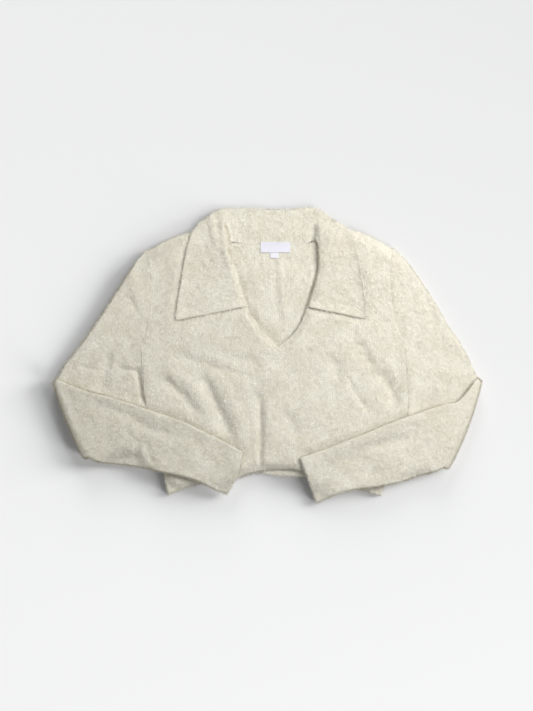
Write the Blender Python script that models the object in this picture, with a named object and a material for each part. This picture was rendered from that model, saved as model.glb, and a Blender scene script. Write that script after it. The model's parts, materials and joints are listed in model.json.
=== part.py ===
"""Cropped knit sweater with a V neck and a wide pointed collar, lying flat on its back.

Both sleeves are folded at the elbow, so each forearm lies across the front.
Lengths are in millimetres, and make_object turns them into Blender's metres.
The hem is towards -Y and the collar towards +Y, and left and right are the wearer's,
so the left sleeve is on the +X side. Z = 0 is the surface that the sweater lies on.
"""

from collections import namedtuple
import math

import bmesh
import bpy
import numpy as np

MM = 0.001

# Cloth
WALL = 3.0
SEAM_GAP = 0.3
RIM_INSET = 1.1

# How the front stands off the back, more so in its middle, and where it is pressed down or
# comes down to an edge
FRONT_AIR = 5.5
CROWN_HEIGHT = 3.5
CROWN_MIDDLE_X = 15.0
CROWN_HALF_WIDTH = 220.0
FOREARM_PRESS = 0.75
COLLAR_PRESS = 0.6
PRESSED_SOFTNESS = 12.0
EDGE_SOFTNESS = 24.0
EDGE_SLOPE = 3.0
NECK_SOFTNESS = 14.0
NECK_PRESS = 2.3
# It is pressed less over the left chest, from the first x to the second and below the collar
OPEN_NECK_PRESS = 1.2
OPEN_NECK_X = (4.0, 34.0)
OPEN_NECK_Y = (96.0, 76.0)

# How far folds and swells may lift a sleeve, how they end at the tube's edges, and over what
# length the tube takes up the form of the body at the armhole
LUMP_HEIGHT = 0.45
SLEEVE_RIDGE_LIMIT = 3.0
SLEEVE_EDGE_FADE = 9.0
SEAM_REACH = 34.0
HOLLOW_SQUARENESS = 8

# How far from what it lies on the upper cloth begins to come down, and how gradually
FOREARM_REACH = 20.0
FOREARM_SAG = 10.0
FOREARM_SPAN = 44.0
COLLAR_REACH = 7.5
COLLAR_SAG = 4.5

# Grid on which each layer's rest height is worked out
MAP_HALF_X = 375.0
MAP_HALF_Y = 270.0
MAP_STEP = 2.5

# Body outline, from the hem up. Each half starts at its hem corner.
RIGHT_SIDE = ((-164, -232), (-181, -156), (-199, -82), (-205, -27))
LEFT_SIDE = ((189, -233), (212, -164), (232, -95), (231, -37))
RIGHT_SHOULDER = ((-163, 191), (-128, 203), (-70, 214))
LEFT_SHOULDER = ((172, 196), (136, 208), (85, 214))
FRONT_HEM = ((-164, -232), (-128, -218), (-87, -210), (-50, -205), (-29, -197), (-2, -191),
             (21, -190), (50, -191), (103, -205), (153, -222), (189, -233))
BACK_HEM = ((-164, -232), (-128, -219), (-87, -211), (-50, -205), (-16, -196),
            (21, -201), (59, -203), (103, -210), (153, -224), (189, -233))
V_POINT = (19, 16)
RIGHT_V_EDGE = ((9, 27), (-11, 48), (-34, 87), (-46, 129), (-58, 172), (-64, 195), (-70, 214))
LEFT_V_EDGE = ((39, 32), (55, 55), (70, 94), (80, 125), (84, 154), (85, 182), (85, 214))
BACK_NECK_MIDDLE = (8, 184)
RIGHT_BACK_NECK = ((-37, 184), (-57, 186), (-65, 197), (-70, 214))
LEFT_BACK_NECK = ((47, 184), (72, 185), (82, 195), (85, 214))

# Sleeves: one station for each section across the tube. over is its edge along the top of
# the arm and under its edge along the underarm. bow carries the section towards the body.
Station = namedtuple("Station", "over_x over_y under_x under_y height bow")
ARMHOLE_HEIGHT = 2 * WALL + SEAM_GAP + FRONT_AIR
RIGHT_UPPER_ARM = (
    Station(-200, 173, -208, 14, ARMHOLE_HEIGHT, 13),
    Station(-215, 156, -210.7, 4, 11.6, 1),
    Station(-233, 130, -208.4, -8, 11.5, 1),
    Station(-255, 96, -206.3, -24, 11.2, 2),
    Station(-277, 63, -204.5, -47, 10.6, 1),
    Station(-299, 31, -201.2, -77, 9.8, 0),
    Station(-321, 2, -214, -108, 8.8, 0),
    Station(-336, -17, -258, -144, 8.2, 0),
)
RIGHT_ELBOW = Station(-346, -38, -296, -172, 8.0, -1)
RIGHT_FOREARM = (
    Station(-325, -47, -276, -178, 8.0, 0),
    Station(-293, -59, -247, -182, 8.6, 0),
    Station(-260, -67, -220, -185, 9.2, 0),
    Station(-224, -78, -189, -191, 9.4, 0),
    Station(-186, -91, -159, -197, 9.2, 0),
    Station(-148, -104, -131, -204, 9.0, 0),
    Station(-111, -120, -106, -213, 8.6, 0),
    Station(-75, -138, -87, -223, 8.2, 1),
    Station(-38, -157, -68, -232, 7.8, 4),
)
LEFT_UPPER_ARM = (
    Station(208, 177, 229, 16, ARMHOLE_HEIGHT, 12),
    Station(225, 162, 231.6, 6, 11.8, 1),
    Station(242, 140, 231.2, -8, 11.6, 1),
    Station(260, 114, 231.5, -26, 11.2, 2),
    Station(280, 83, 232.4, -47, 10.6, 1),
    Station(299, 50, 234.2, -74, 9.8, 0),
    Station(318, 23, 237.0, -102, 8.8, 0),
    Station(335, -9, 266, -147, 8.2, 0),
)
LEFT_ELBOW = Station(347, -37, 291, -187, 8.0, -5.5)
LEFT_FOREARM = (
    Station(317, -73, 272, -195.5, 8.2, 0),
    Station(292, -79, 250, -201, 8.6, 0),
    Station(265, -88, 225, -210, 9.2, 0),
    Station(233, -99, 200, -215, 9.4, 0),
    Station(200, -111, 176, -219, 9.2, 0),
    Station(164, -126, 153, -222, 9.0, 0),
    Station(128, -140, 130, -227, 8.6, 0),
    Station(93, -154, 106, -235, 8.2, 0),
    Station(56, -166, 84, -246, 7.8, 0),
)

# How a section is turned: angle is how far it has gone over the elbow's fold, rest the map
# that it lies on, and joint how far it takes the form of the body at the armhole.
Turn = namedtuple("Turn", "angle rest folds joint")
UPPER_STATIONS = 10
ELBOW_STATIONS = 6
FOREARM_STATIONS = 14
SLEEVE_MIDDLE_POINTS = 8
SLEEVE_EDGE_SHARE = 0.15

# Collar: one row for each line across the band, from the neck seam out to the loose edge.
# roll is how far the band stands up near its seam, and lift how much of it lies on the body:
# behind the neck it is none, and there the band carries on from the edge of the back.
# reach is how far from its seam the band has its full thickness.
CollarLine = namedtuple("CollarLine", "seam_x seam_y edge_x edge_y roll lift reach")
COLLAR_LINES = (
    CollarLine(-32, 80, -146, 56.5, 0.6, 1, 9),
    CollarLine(-32.6, 82, -151, 59, 0.7, 1, 9),
    CollarLine(-35, 89, -151, 68, 0.9, 1, 9),
    CollarLine(-41, 105, -148, 90, 1.2, 1, 9),
    CollarLine(-47, 128, -143, 119, 1.6, 1, 9),
    CollarLine(-53, 152, -138, 152, 2.0, 1, 9),
    CollarLine(-58.5, 171, -132, 179, 2.2, 1, 9),
    CollarLine(-60, 178, -124, 204, 2.2, 1, 9),
    CollarLine(-60, 182, -111, 220, 2.0, 1, 9),
    CollarLine(-59.5, 185, -96, 231, 1.5, 1, 9),
    CollarLine(-58, 187, -82, 240, 1.0, 1, 8),
    CollarLine(-54, 187, -67, 243, 0.3, 0.5, 6),
    CollarLine(-37, 184.4, -37, 243, 0, 0, 5),
    CollarLine(-9, 184.3, -9, 242, 0, 0, 5),
    CollarLine(19, 184.3, 19, 241, 0, 0, 5),
    CollarLine(47, 184.4, 46, 242, 0, 0, 5),
    CollarLine(69, 185.8, 66, 244, 0, 0, 4),
    CollarLine(76.4, 190.8, 76, 245, 0, 0.3, 4),
    CollarLine(80.6, 188, 80, 244, 0.8, 1, 3),
    CollarLine(82.5, 184, 90, 239, 1.0, 1, 3),
    CollarLine(83.5, 179, 110, 225, 1.0, 1, 3),
    CollarLine(84, 170, 135, 208, 1.0, 1, 3),
    CollarLine(84, 157, 147, 185, 1.0, 1, 3),
    CollarLine(83, 139, 154, 156, 1.0, 1, 3),
    CollarLine(78, 118, 160, 121, 1.0, 1, 3),
    CollarLine(71, 96, 164, 91, 1.0, 1, 3),
    CollarLine(68, 86, 165, 72, 1.0, 1, 3),
    CollarLine(66.4, 81, 163.5, 62, 0.9, 1, 3),
    CollarLine(66, 79, 157, 59.5, 0.8, 1, 3),
)
COLLAR_STATIONS = 66
COLLAR_ROWS = 10
COLLAR_ROW_BIAS = 1.4
ROLL_PEAK = 9.0
ROLL_FALL = 52.0
THIN_EDGE = 0.5

# Folds that the cloth keeps: a path, how wide the fold is on the left and on the right of
# that path, and how high it stands. A trough's height is below zero.
Fold = namedtuple("Fold", "path left right height")
FRONT_FOLDS = (
    Fold(((-14, -46), (-11, -88), (-10, -139), (-12, -200)), 5, 13, -6.2),
    Fold(((-22, -58), (-20, -100), (-20, -150), (-23, -196)), 8, 5, 2.0),
    Fold(((4, -65), (7, -115), (14, -164)), 12, 16, 1.6),
    Fold(((-112, -18), (-100, -44), (-88, -72), (-74, -100), (-62, -128), (-54, -152)), 9, 13, -5.4),
    Fold(((-86, -30), (-64, -62), (-47, -104), (-40, -150)), 9, 14, 2.4),
    Fold(((-188, -36), (-164, -46), (-140, -66), (-118, -92), (-106, -110)), 8, 10, -3.8),
    Fold(((-178, -22), (-146, -33), (-118, -55), (-96, -84)), 9, 10, 2.2),
    Fold(((-172, 6), (-130, -7), (-99, -16), (-46, -30), (0, -44)), 7, 9, -2.6),
    Fold(((150, 26), (160, 8), (168, -8), (174, -24)), 7, 13, -4.2),
    Fold(((180, -20), (196, -42), (208, -66), (216, -94)), 11, 12, -6.0),
    Fold(((229, 20), (230.5, -12), (230.5, -45), (229, -95)), 3, 3, 0.5),
    Fold(((205, 42), (214, 9), (217, -27), (224, -65)), 7, 7, -1.2),
    Fold(((103, 6), (111, -17), (120, -47)), 8, 9, -2.8),
    Fold(((39, -93), (42, -115), (52, -139)), 8, 8, -2.4),
    Fold(((128, -32), (149, -65), (172, -101)), 5, 6, -2.2),
    Fold(((146, 55), (143, 29), (149, 6)), 4, 4, -1.0),
    Fold(((-88, 15), (-62, -2), (-30, -10), (-2, -28)), 9, 11, -2.2),
    Fold(((-62, 172), (-53, 129), (-41, 87), (-19, 49), (4, 20)), 7, 8, 2.0),
    Fold(((-199, 8), (-196, -30), (-192, -70), (-186, -108)), 6, 8, 1.2),
)
COLLAR_FOLDS = (
    Fold(((-95, 246), (-92, 220), (-86, 195), (-80, 168)), 7, 6, 2.4),
    Fold(((-74, 246), (-73, 222), (-72, 196), (-66, 166), (-56, 130)), 6, 6, 3.0),
    Fold(((-111, 197), (-98, 167), (-85, 134)), 5, 6, -1.2),
    Fold(((-29, 237), (-24, 214), (-22, 190)), 9, 11, 1.2),
)
SLEEVE_FOLDS = (
    Fold(((-250, 4), (-262, -8), (-268, -28), (-274, -64)), 6, 7, -4.6),
    Fold(((-262, -38), (-240, -46), (-224, -56)), 11, 10, 1.6),
    Fold(((-222, 138), (-217, 116), (-210, 92)), 8, 8, 1.4),
    Fold(((-232, 101), (-219, 80), (-205, 59)), 7, 7, -1.8),
    Fold(((262, 120), (268, 80), (284, 36)), 12, 12, -1.4),
)
FOREARM_FOLDS = (
    Fold(((-309, -80), (-276, -85), (-233, -97), (-186, -123), (-128, -136)), 9, 10, -2.4),
    Fold(((-209, -136), (-214, -156), (-220, -177)), 6, 6, -2.0),
    Fold(((-202, -139), (-194, -164), (-186, -184)), 6, 6, -2.0),
    Fold(((144, -158), (186, -148), (227, -138), (268, -128)), 8, 9, -2.0),
    Fold(((120, -205), (150, -196), (190, -190)), 9, 9, -1.2),
)

# Labels sewn at the back neck, both bare
LABEL_SIZE = (49.0, 17.6)
LABEL_MIDDLE = (14.0, 178.0)
LABEL_THICKNESS = 0.6
LABEL_LAP = 7.0
TAB_SIZE = (13.6, 12.0)
TAB_MIDDLE = (12.5, 166.2)
TAB_THICKNESS = 0.5
TAPE_RIM_INSET = 0.2
TAPE_COLUMNS = 9
TAPE_ROWS = 8

# Mesh density of the two body panels: rows up to the V's point, rows from there to the
# shoulder, those of the back that lie below its neck, and columns of each half
LOW_ROWS = 17
HIGH_ROWS = 14
BACK_ROWS = 8
HALF_COLUMNS = 16

CURVE_STEPS = 16
FOLD_STEPS = 24
FOLD_END = 4.0
IVORY = (0.76, 0.73, 0.64, 1.0)
LABEL_WHITE = (0.80, 0.80, 0.84, 1.0)

map_x = np.arange(-MAP_HALF_X, MAP_HALF_X + MAP_STEP, MAP_STEP)
map_y = np.arange(-MAP_HALF_Y, MAP_HALF_Y + MAP_STEP, MAP_STEP)
grid_x, grid_y = np.meshgrid(map_x, map_y)


def spline(points, count):
    """Points at equal distances along a smooth curve through the given ones."""
    knots = np.array(points, float)
    padded = np.vstack([2 * knots[0] - knots[1], knots, 2 * knots[-1] - knots[-2]])
    t = np.linspace(0, 1, CURVE_STEPS, endpoint=False)[:, None]
    pieces = []
    for a, b, c, d in zip(padded, padded[1:], padded[2:], padded[3:]):
        bend = (2 * a - 5 * b + 4 * c - d) * t**2 + (3 * b - a - 3 * c + d) * t**3
        pieces.append(b + 0.5 * ((c - a) * t + bend))
    dense = np.vstack(pieces + [knots[-1:]])
    run = np.insert(np.cumsum(np.linalg.norm(np.diff(dense, axis=0), axis=1)), 0, 0.0)
    even = np.linspace(0, run[-1], count)
    return np.column_stack([np.interp(even, run, column) for column in dense.T])


def coons(left, right, bottom, top):
    """A grid of points between four edges; left and right run up, bottom and top run right."""
    up = np.linspace(0, 1, len(left))[:, None, None]
    over = np.linspace(0, 1, len(bottom))[None, :, None]
    sides = (1 - over) * left[:, None] + over * right[:, None]
    ends = (1 - up) * bottom[None] + up * top[None]
    low_corners = (1 - up) * ((1 - over) * left[0] + over * right[0])
    high_corners = up * ((1 - over) * left[-1] + over * right[-1])
    return sides + ends - low_corners - high_corners


def inside(outline):
    """Which points of the map lie inside a closed outline."""
    mask = np.zeros(grid_x.shape, bool)
    for (ax, ay), (bx, by) in zip(outline, np.roll(outline, -1, axis=0)):
        if ay == by:
            continue
        crosses = (grid_y < ay) != (grid_y < by)
        mask ^= crosses & (grid_x < ax + (grid_y - ay) * (bx - ax) / (by - ay))
    return mask


def disc(radius):
    reach = int(radius / MAP_STEP)
    steps = range(-reach, reach + 1)
    return [(i, j) for i in steps for j in steps if math.hypot(i, j) * MAP_STEP <= radius]


def spread(field, radius):
    """The highest value within the radius of each point of the map."""
    shifted = [np.roll(field, step, axis=(0, 1)) for step in disc(radius)]
    return np.max(shifted, axis=0)


def soften(field, radius):
    """The mean value within the radius of each point of the map."""
    shifted = [np.roll(field, step, axis=(0, 1)) for step in disc(radius)]
    return np.mean(shifted, axis=0)


def read(field, x, y):
    """The field's value at any place, between the points of the map."""
    column = np.clip((x + MAP_HALF_X) / MAP_STEP, 0, field.shape[1] - 2)
    row = np.clip((y + MAP_HALF_Y) / MAP_STEP, 0, field.shape[0] - 2)
    i = row.astype(int)
    j = column.astype(int)
    a = row - i
    b = column - j
    low = field[i, j] * (1 - b) + field[i, j + 1] * b
    high = field[i + 1, j] * (1 - b) + field[i + 1, j + 1] * b
    return low * (1 - a) + high * a


def bridge(field, radius):
    """The field with its hollows closed where the cloth spans them, up to twice the radius."""
    return -spread(-spread(field, radius), radius)


def smooth_step(value):
    value = np.clip(value, 0, 1)
    return value * value * (3 - 2 * value)


def fold_height(fold, x, y):
    """How much one fold lifts or lowers the cloth at each place."""
    line = spline(fold.path, FOLD_STEPS)
    points = np.stack([np.asarray(x), np.asarray(y)], axis=-1)[..., None, :]
    start = line[:-1]
    along = line[1:] - start
    share = np.sum((points - start) * along, axis=-1) / np.sum(along**2, axis=-1)
    share = np.clip(share, 0, 1)
    away = points - (start + share[..., None] * along)
    distance = np.linalg.norm(away, axis=-1)
    nearest = np.argmin(distance, axis=-1)[..., None]
    turn = along[:, 0] * away[..., 1] - along[:, 1] * away[..., 0]
    turn, share, distance = [np.take_along_axis(values, nearest, axis=-1)[..., 0]
                             for values in (turn, share, distance)]
    width = np.where(turn > 0, fold.left, fold.right)
    run = (nearest[..., 0] + share) / len(along)
    fade = smooth_step(FOLD_END * run) * smooth_step(FOLD_END * (1 - run))
    return fold.height * fade * np.exp(-((distance / width) ** 2))


def folds_height(folds, x, y):
    return sum(fold_height(fold, x, y) for fold in folds)


def lumps(x, y):
    """The low swells of cloth that was laid down by hand."""
    waves = np.sin(x / 17 + y / 41) * np.sin(y / 23 - x / 60) + 0.6 * np.sin(x / 31 - y / 14)
    return LUMP_HEIGHT * waves


def across(start, end):
    """The level direction square to a line, on its left."""
    line = np.asarray(end, float) - np.asarray(start, float)
    return np.array([-line[1], line[0]]) / np.linalg.norm(line)


def section_line(station, side, share):
    """Places on a sleeve's section, from its overarm edge (0) to its underarm edge (1)."""
    over = np.array([station.over_x, station.over_y])
    under = np.array([station.under_x, station.under_y])
    bow = -side * across(over, under) * station.bow
    share = np.asarray(share)[:, None]
    return over + share * (under - over) + 4 * share * (1 - share) * bow


def armhole(station, side, count):
    """The body's armhole edge, from the underarm up, a seam's gap from the sleeve."""
    line = section_line(station, side, np.linspace(1, 0, count))
    return line - side * SEAM_GAP * across(line[-1], line[0])


def panel_edges(hem, neck_start, right_neck, left_neck):
    """The four edges of each half of a body panel."""
    right_armhole = armhole(RIGHT_UPPER_ARM[0], -1, HIGH_ROWS + 1)
    left_armhole = armhole(LEFT_UPPER_ARM[0], 1, HIGH_ROWS + 1)
    hem_line = spline(hem, 2 * HALF_COLUMNS + 1)
    middle = hem_line[HALF_COLUMNS]
    bust = np.array([V_POINT[0], V_POINT[1]], float)
    centre = np.linspace(middle, bust, LOW_ROWS + 1)
    right_side = spline(RIGHT_SIDE + (tuple(right_armhole[0]),), LOW_ROWS + 1)
    left_side = spline(LEFT_SIDE + (tuple(left_armhole[0]),), LOW_ROWS + 1)
    right_inner = neck_edge(bust, neck_start, right_neck)
    left_inner = neck_edge(bust, neck_start, left_neck)
    right_top = spline((tuple(right_armhole[-1]),) + RIGHT_SHOULDER, HALF_COLUMNS + 1)
    left_top = spline((tuple(left_armhole[-1]),) + LEFT_SHOULDER, HALF_COLUMNS + 1)
    right_half = (
        np.vstack([right_side, right_armhole[1:]]),
        np.vstack([centre, right_inner[1:]]),
        hem_line[: HALF_COLUMNS + 1],
        right_top,
    )
    left_half = (
        np.vstack([centre, left_inner[1:]]),
        np.vstack([left_side, left_armhole[1:]]),
        hem_line[HALF_COLUMNS:],
        left_top[::-1],
    )
    return right_half, left_half


def neck_edge(bust, neck_start, neck):
    """From the middle of the chest up to the shoulder, through where the neck opening starts."""
    if neck_start is None:
        return spline((tuple(bust),) + neck, HIGH_ROWS + 1)
    rise = np.linspace(bust, np.array(neck_start, float), BACK_ROWS + 1)
    rest = spline((neck_start,) + neck, HIGH_ROWS - BACK_ROWS + 1)
    return np.vstack([rise, rest[1:]])


def panel_plan(halves, open_from):
    """Plan points and faces of a panel, whose halves are joined up to the row open_from."""
    right_grid, left_grid = [coons(*edges) for edges in halves]
    rows, columns = right_grid.shape[:2]
    points = []
    numbers = np.zeros((2, rows, columns), int)
    for half, grid in enumerate((right_grid, left_grid)):
        for row in range(rows):
            for column in range(columns):
                if half == 1 and column == 0 and row <= open_from:
                    numbers[half, row, column] = numbers[0, row, columns - 1]
                    continue
                numbers[half, row, column] = len(points)
                points.append(grid[row, column])
    faces = []
    for half in range(2):
        for row in range(rows - 1):
            for column in range(columns - 1):
                low = numbers[half, row, column : column + 2]
                high = numbers[half, row + 1, column : column + 2]
                faces.append((low[0], low[1], high[1], high[0]))
    return np.array(points), faces


def grid_faces(rows, columns):
    """Faces of a plain grid of points, row by row."""
    faces = []
    for row in range(rows - 1):
        for column in range(columns - 1):
            first = row * columns + column
            faces.append((first, first + 1, first + columns + 1, first + columns))
    return faces


def rim_order(faces):
    """The numbers of the points round the edge of a sheet, in order."""
    following = {}
    used = {(face[i - 1], face[i]) for face in faces for i in range(len(face))}
    for start, end in used:
        if (end, start) not in used:
            following[start] = end
    first = min(following)
    order = [first]
    while following[order[-1]] != first:
        order.append(following[order[-1]])
    return order


def sheet_body(name, plan, faces, low, high, inset, material):
    """A closed cloth sheet over plan points, between two heights, with a rounded rim."""
    plan = np.asarray(plan, float)
    order = rim_order(faces)
    loop = plan[order]
    tangent = np.roll(loop, -1, axis=0) - np.roll(loop, 1, axis=0)
    outward = np.column_stack([tangent[:, 1], -tangent[:, 0]])
    outward /= np.linalg.norm(outward, axis=1)[:, None]
    pulled = plan.copy()
    pulled[order] -= inset * outward
    top = np.column_stack([pulled, high])
    bottom = np.column_stack([pulled, low])
    rim = np.column_stack([loop, (low[order] + high[order]) / 2])
    points = np.vstack([top, bottom, rim])
    under = len(plan)
    side = 2 * len(plan)
    all_faces = [tuple(face) for face in faces]
    all_faces += [tuple(number + under for number in reversed(face)) for face in faces]
    for place, number in enumerate(order):
        after = (place + 1) % len(order)
        following = order[after]
        all_faces.append((following, number, side + place, side + after))
        all_faces.append((side + after, side + place, under + number, under + following))
    return make_object(name, points, all_faces, material)


def make_object(name, points, faces, material):
    mesh = bpy.data.meshes.new(name)
    build = bmesh.new()
    corners = [build.verts.new(point) for point in np.asarray(points) * MM]
    for face in faces:
        build.faces.new([corners[number] for number in face])
    bmesh.ops.recalc_face_normals(build, faces=build.faces)
    bmesh.ops.triangulate(build, faces=build.faces)
    build.to_mesh(mesh)
    build.free()
    mesh.shade_smooth()
    mesh.materials.append(material)
    made = bpy.data.objects.new(name, mesh)
    bpy.context.scene.collection.objects.link(made)
    return made


def cloth_material(name, colour, roughness):
    material = bpy.data.materials.new(name)
    material.use_nodes = True
    shader = material.node_tree.nodes["Principled BSDF"]
    shader.inputs["Base Color"].default_value = colour
    shader.inputs["Roughness"].default_value = roughness
    shader.inputs["Metallic"].default_value = 0.0
    return material


def closed_outline(stations, side):
    """The plan outline of a run of sleeve stations."""
    first = section_line(stations[0], side, np.linspace(0, 1, CURVE_STEPS))
    over = [(row.over_x, row.over_y) for row in stations[1:]]
    under = [(row.under_x, row.under_y) for row in stations[1:]]
    return np.vstack([first[::-1], over, under[::-1]])


def smooth_stations(stations, count):
    return [Station(*row) for row in spline(stations, count)]


def arm_heights(stations, side):
    """The map of an upper arm's top, and of nothing (0) elsewhere."""
    top = np.zeros(grid_x.shape)
    relief = folds_height(SLEEVE_FOLDS, grid_x, grid_y) + lumps(grid_x, grid_y)
    relief = np.clip(relief, 0, SLEEVE_RIDGE_LIMIT)
    for first, second in zip(stations, stations[1:]):
        mask = inside(closed_outline((first, second), side))
        top[mask] = max(first.height, second.height) + relief[mask]
    return top


def section_shares(width, height):
    """Places across a sleeve's section, close together on its rounded edges."""
    flat = np.linspace(height / 2, width - height / 2, SLEEVE_MIDDLE_POINTS)
    edge = SLEEVE_EDGE_SHARE * height
    return np.concatenate([[0, edge], flat, [width - edge, width]]) / width


def half_heights(width, height, share):
    """Half the thickness of a section with round edges at each place across it."""
    from_edge = np.minimum(share, 1 - share) * width
    depth = np.clip(1 - 2 * from_edge / height, 0, 1)
    return height / 2 * np.sqrt(1 - depth**2)


def sleeve_ring(station, side, turn, body_lift, inner):
    """One ring of a sleeve, outside or inside the cloth."""
    angle = turn.angle
    rest = turn.rest
    over = np.array([station.over_x, station.over_y])
    under = np.array([station.under_x, station.under_y])
    width = np.linalg.norm(under - over)
    share = section_shares(width, station.height)
    half = half_heights(width, station.height, share)
    if inner:
        hollow = station.height / 2 - WALL
        half = hollow * (1 - np.abs(2 * share - 1) ** HOLLOW_SQUARENESS)
        share = (WALL + share * (width - 2 * WALL)) / width
    line = section_line(station, side, share)
    middle = np.full(len(share), station.height / 2)
    high = middle
    if rest is not None:
        high = read(rest, line[:, 0], line[:, 1]) + station.height / 2
    outward = side * across(over, under)
    radius = (high - middle) / 2
    level = (high + middle) / 2 - radius * math.cos(angle)
    reach = radius * half_heights(width, station.height, share) * 2 / station.height
    plan = line + outward * (reach * math.sin(angle))[:, None]
    toward_fold = half * math.cos(angle)
    inset = outward * (half * math.sin(angle))[:, None]
    near = np.column_stack([plan - inset, level + toward_fold])
    far = np.column_stack([plan + inset, level - toward_fold])
    top = near if angle == 0 else far
    if angle in (0, math.pi):
        room = station.height - 2 * WALL - SEAM_GAP
        shift = folds_height(turn.folds, top[:, 0], top[:, 1]) + lumps(top[:, 0], top[:, 1])
        edge_fade = smooth_step(np.minimum(share, 1 - share) * width / SLEEVE_EDGE_FADE)
        shift = np.clip(shift, -room, SLEEVE_RIDGE_LIMIT) * edge_fade
        seam_shift = (body_lift(top[:, 0], top[:, 1]) - FRONT_AIR) * half / half.max()
        top[:, 2] += shift * (1 - turn.joint) + seam_shift * turn.joint
    if angle == 0:
        far[:, 2] = np.maximum(far[:, 2], 0.0 if not inner else WALL)
    return np.vstack([near, far[-2:0:-1]])


def sleeve_body(name, upper, elbow, forearm, side, rest, body_lift, material):
    """A sleeve: one hollow tube from the armhole to the cuff, folded over at the elbow."""
    near_rows = smooth_stations(tuple(upper) + (elbow,), UPPER_STATIONS)
    far_rows = smooth_stations((elbow,) + tuple(forearm), FOREARM_STATIONS)
    turns = []
    for row in near_rows:
        along = math.dist(row[0:4], near_rows[0][0:4]) / math.sqrt(2)
        joint = 1 - smooth_step(along / SEAM_REACH)
        turns.append((row, Turn(0, None, SLEEVE_FOLDS, joint)))
    turns[-1] = (elbow, Turn(0, rest, SLEEVE_FOLDS, 0.0))
    for step in range(1, ELBOW_STATIONS):
        turns.append((elbow, Turn(math.pi * step / ELBOW_STATIONS, rest, (), 0.0)))
    turns += [(row, Turn(math.pi, rest, FOREARM_FOLDS, 0.0)) for row in far_rows]
    outer = [sleeve_ring(row, side, turn, body_lift, False) for row, turn in turns]
    inner = [sleeve_ring(row, side, turn, body_lift, True) for row, turn in turns]
    rings = outer + inner[::-1]
    around = len(outer[0])
    faces = []
    for ring in range(len(rings)):
        start = ring * around
        after = (ring + 1) % len(rings) * around
        for place in range(around):
            beside = (place + 1) % around
            faces.append((start + place, start + beside, after + beside, after + place))
    return make_object(name, np.vstack(rings), faces, material)


def collar_lines():
    """The collar's lines, evenly spaced, and its plan points, row by row from its seam out."""
    lines = spline(COLLAR_LINES, COLLAR_STATIONS)
    seam = lines[:, 0:2]
    edge = lines[:, 2:4]
    share = np.linspace(0, 1, COLLAR_ROWS)[:, None, None] ** COLLAR_ROW_BIAS
    return lines, seam + share * (edge - seam)


def collar_body(name, lines, plan, rest, material):
    """The collar, rolled over near its seam, where its cloth is drawn thin."""
    flat = plan.reshape(-1, 2)
    x, y = flat.T
    run = np.linalg.norm(plan - plan[0], axis=2)
    roll = lines[:, 4]
    lift = np.clip(lines[:, 5], 0, 1)
    rise = smooth_step(run / lines[:, 6])
    fall = np.exp(-((np.maximum(run - ROLL_PEAK, 0) / ROLL_FALL) ** 2))
    thin = (1 - THIN_EDGE) * (1 - rise) * lift
    shift = (rise * fall * roll).ravel() + folds_height(COLLAR_FOLDS, x, y)
    low = read(rest, x, y) * np.tile(lift, COLLAR_ROWS) + np.maximum(shift, 0)
    high = low + WALL * (1 - thin).ravel()
    faces = grid_faces(COLLAR_ROWS, COLLAR_STATIONS)
    return sheet_body(name, flat, faces, low, high, RIM_INSET, material)


def body_halves():
    """The edges of each half of the front and of the back."""
    front_halves = panel_edges(FRONT_HEM, None, RIGHT_V_EDGE, LEFT_V_EDGE)
    back_halves = panel_edges(BACK_HEM, BACK_NECK_MIDDLE, RIGHT_BACK_NECK, LEFT_BACK_NECK)
    return front_halves, back_halves


def outline_of(plan, faces):
    return plan[rim_order(faces)]


def clear_above(top):
    """The lowest height for cloth that lies on a map of tops. Bare floor stays at 0."""
    return top + SEAM_GAP * (top > 0)


def tape_body(name, middle, size, thickness, foot_height, top_height, lap, material):
    """A small woven label. Its foot may lie higher than the lap along its top."""
    x = np.linspace(-size[0] / 2, size[0] / 2, TAPE_COLUMNS) + middle[0]
    y = np.linspace(-size[1] / 2, size[1] / 2, TAPE_ROWS) + middle[1]
    plan = np.array([(across_x, up_y) for up_y in y for across_x in x])
    share = smooth_step((y[-1] - lap - plan[:, 1]) / (size[1] - lap))
    low = top_height + (foot_height - top_height) * share
    faces = grid_faces(TAPE_ROWS, TAPE_COLUMNS)
    return sheet_body(name, plan, faces, low, low + thickness, TAPE_RIM_INSET, material)


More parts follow.
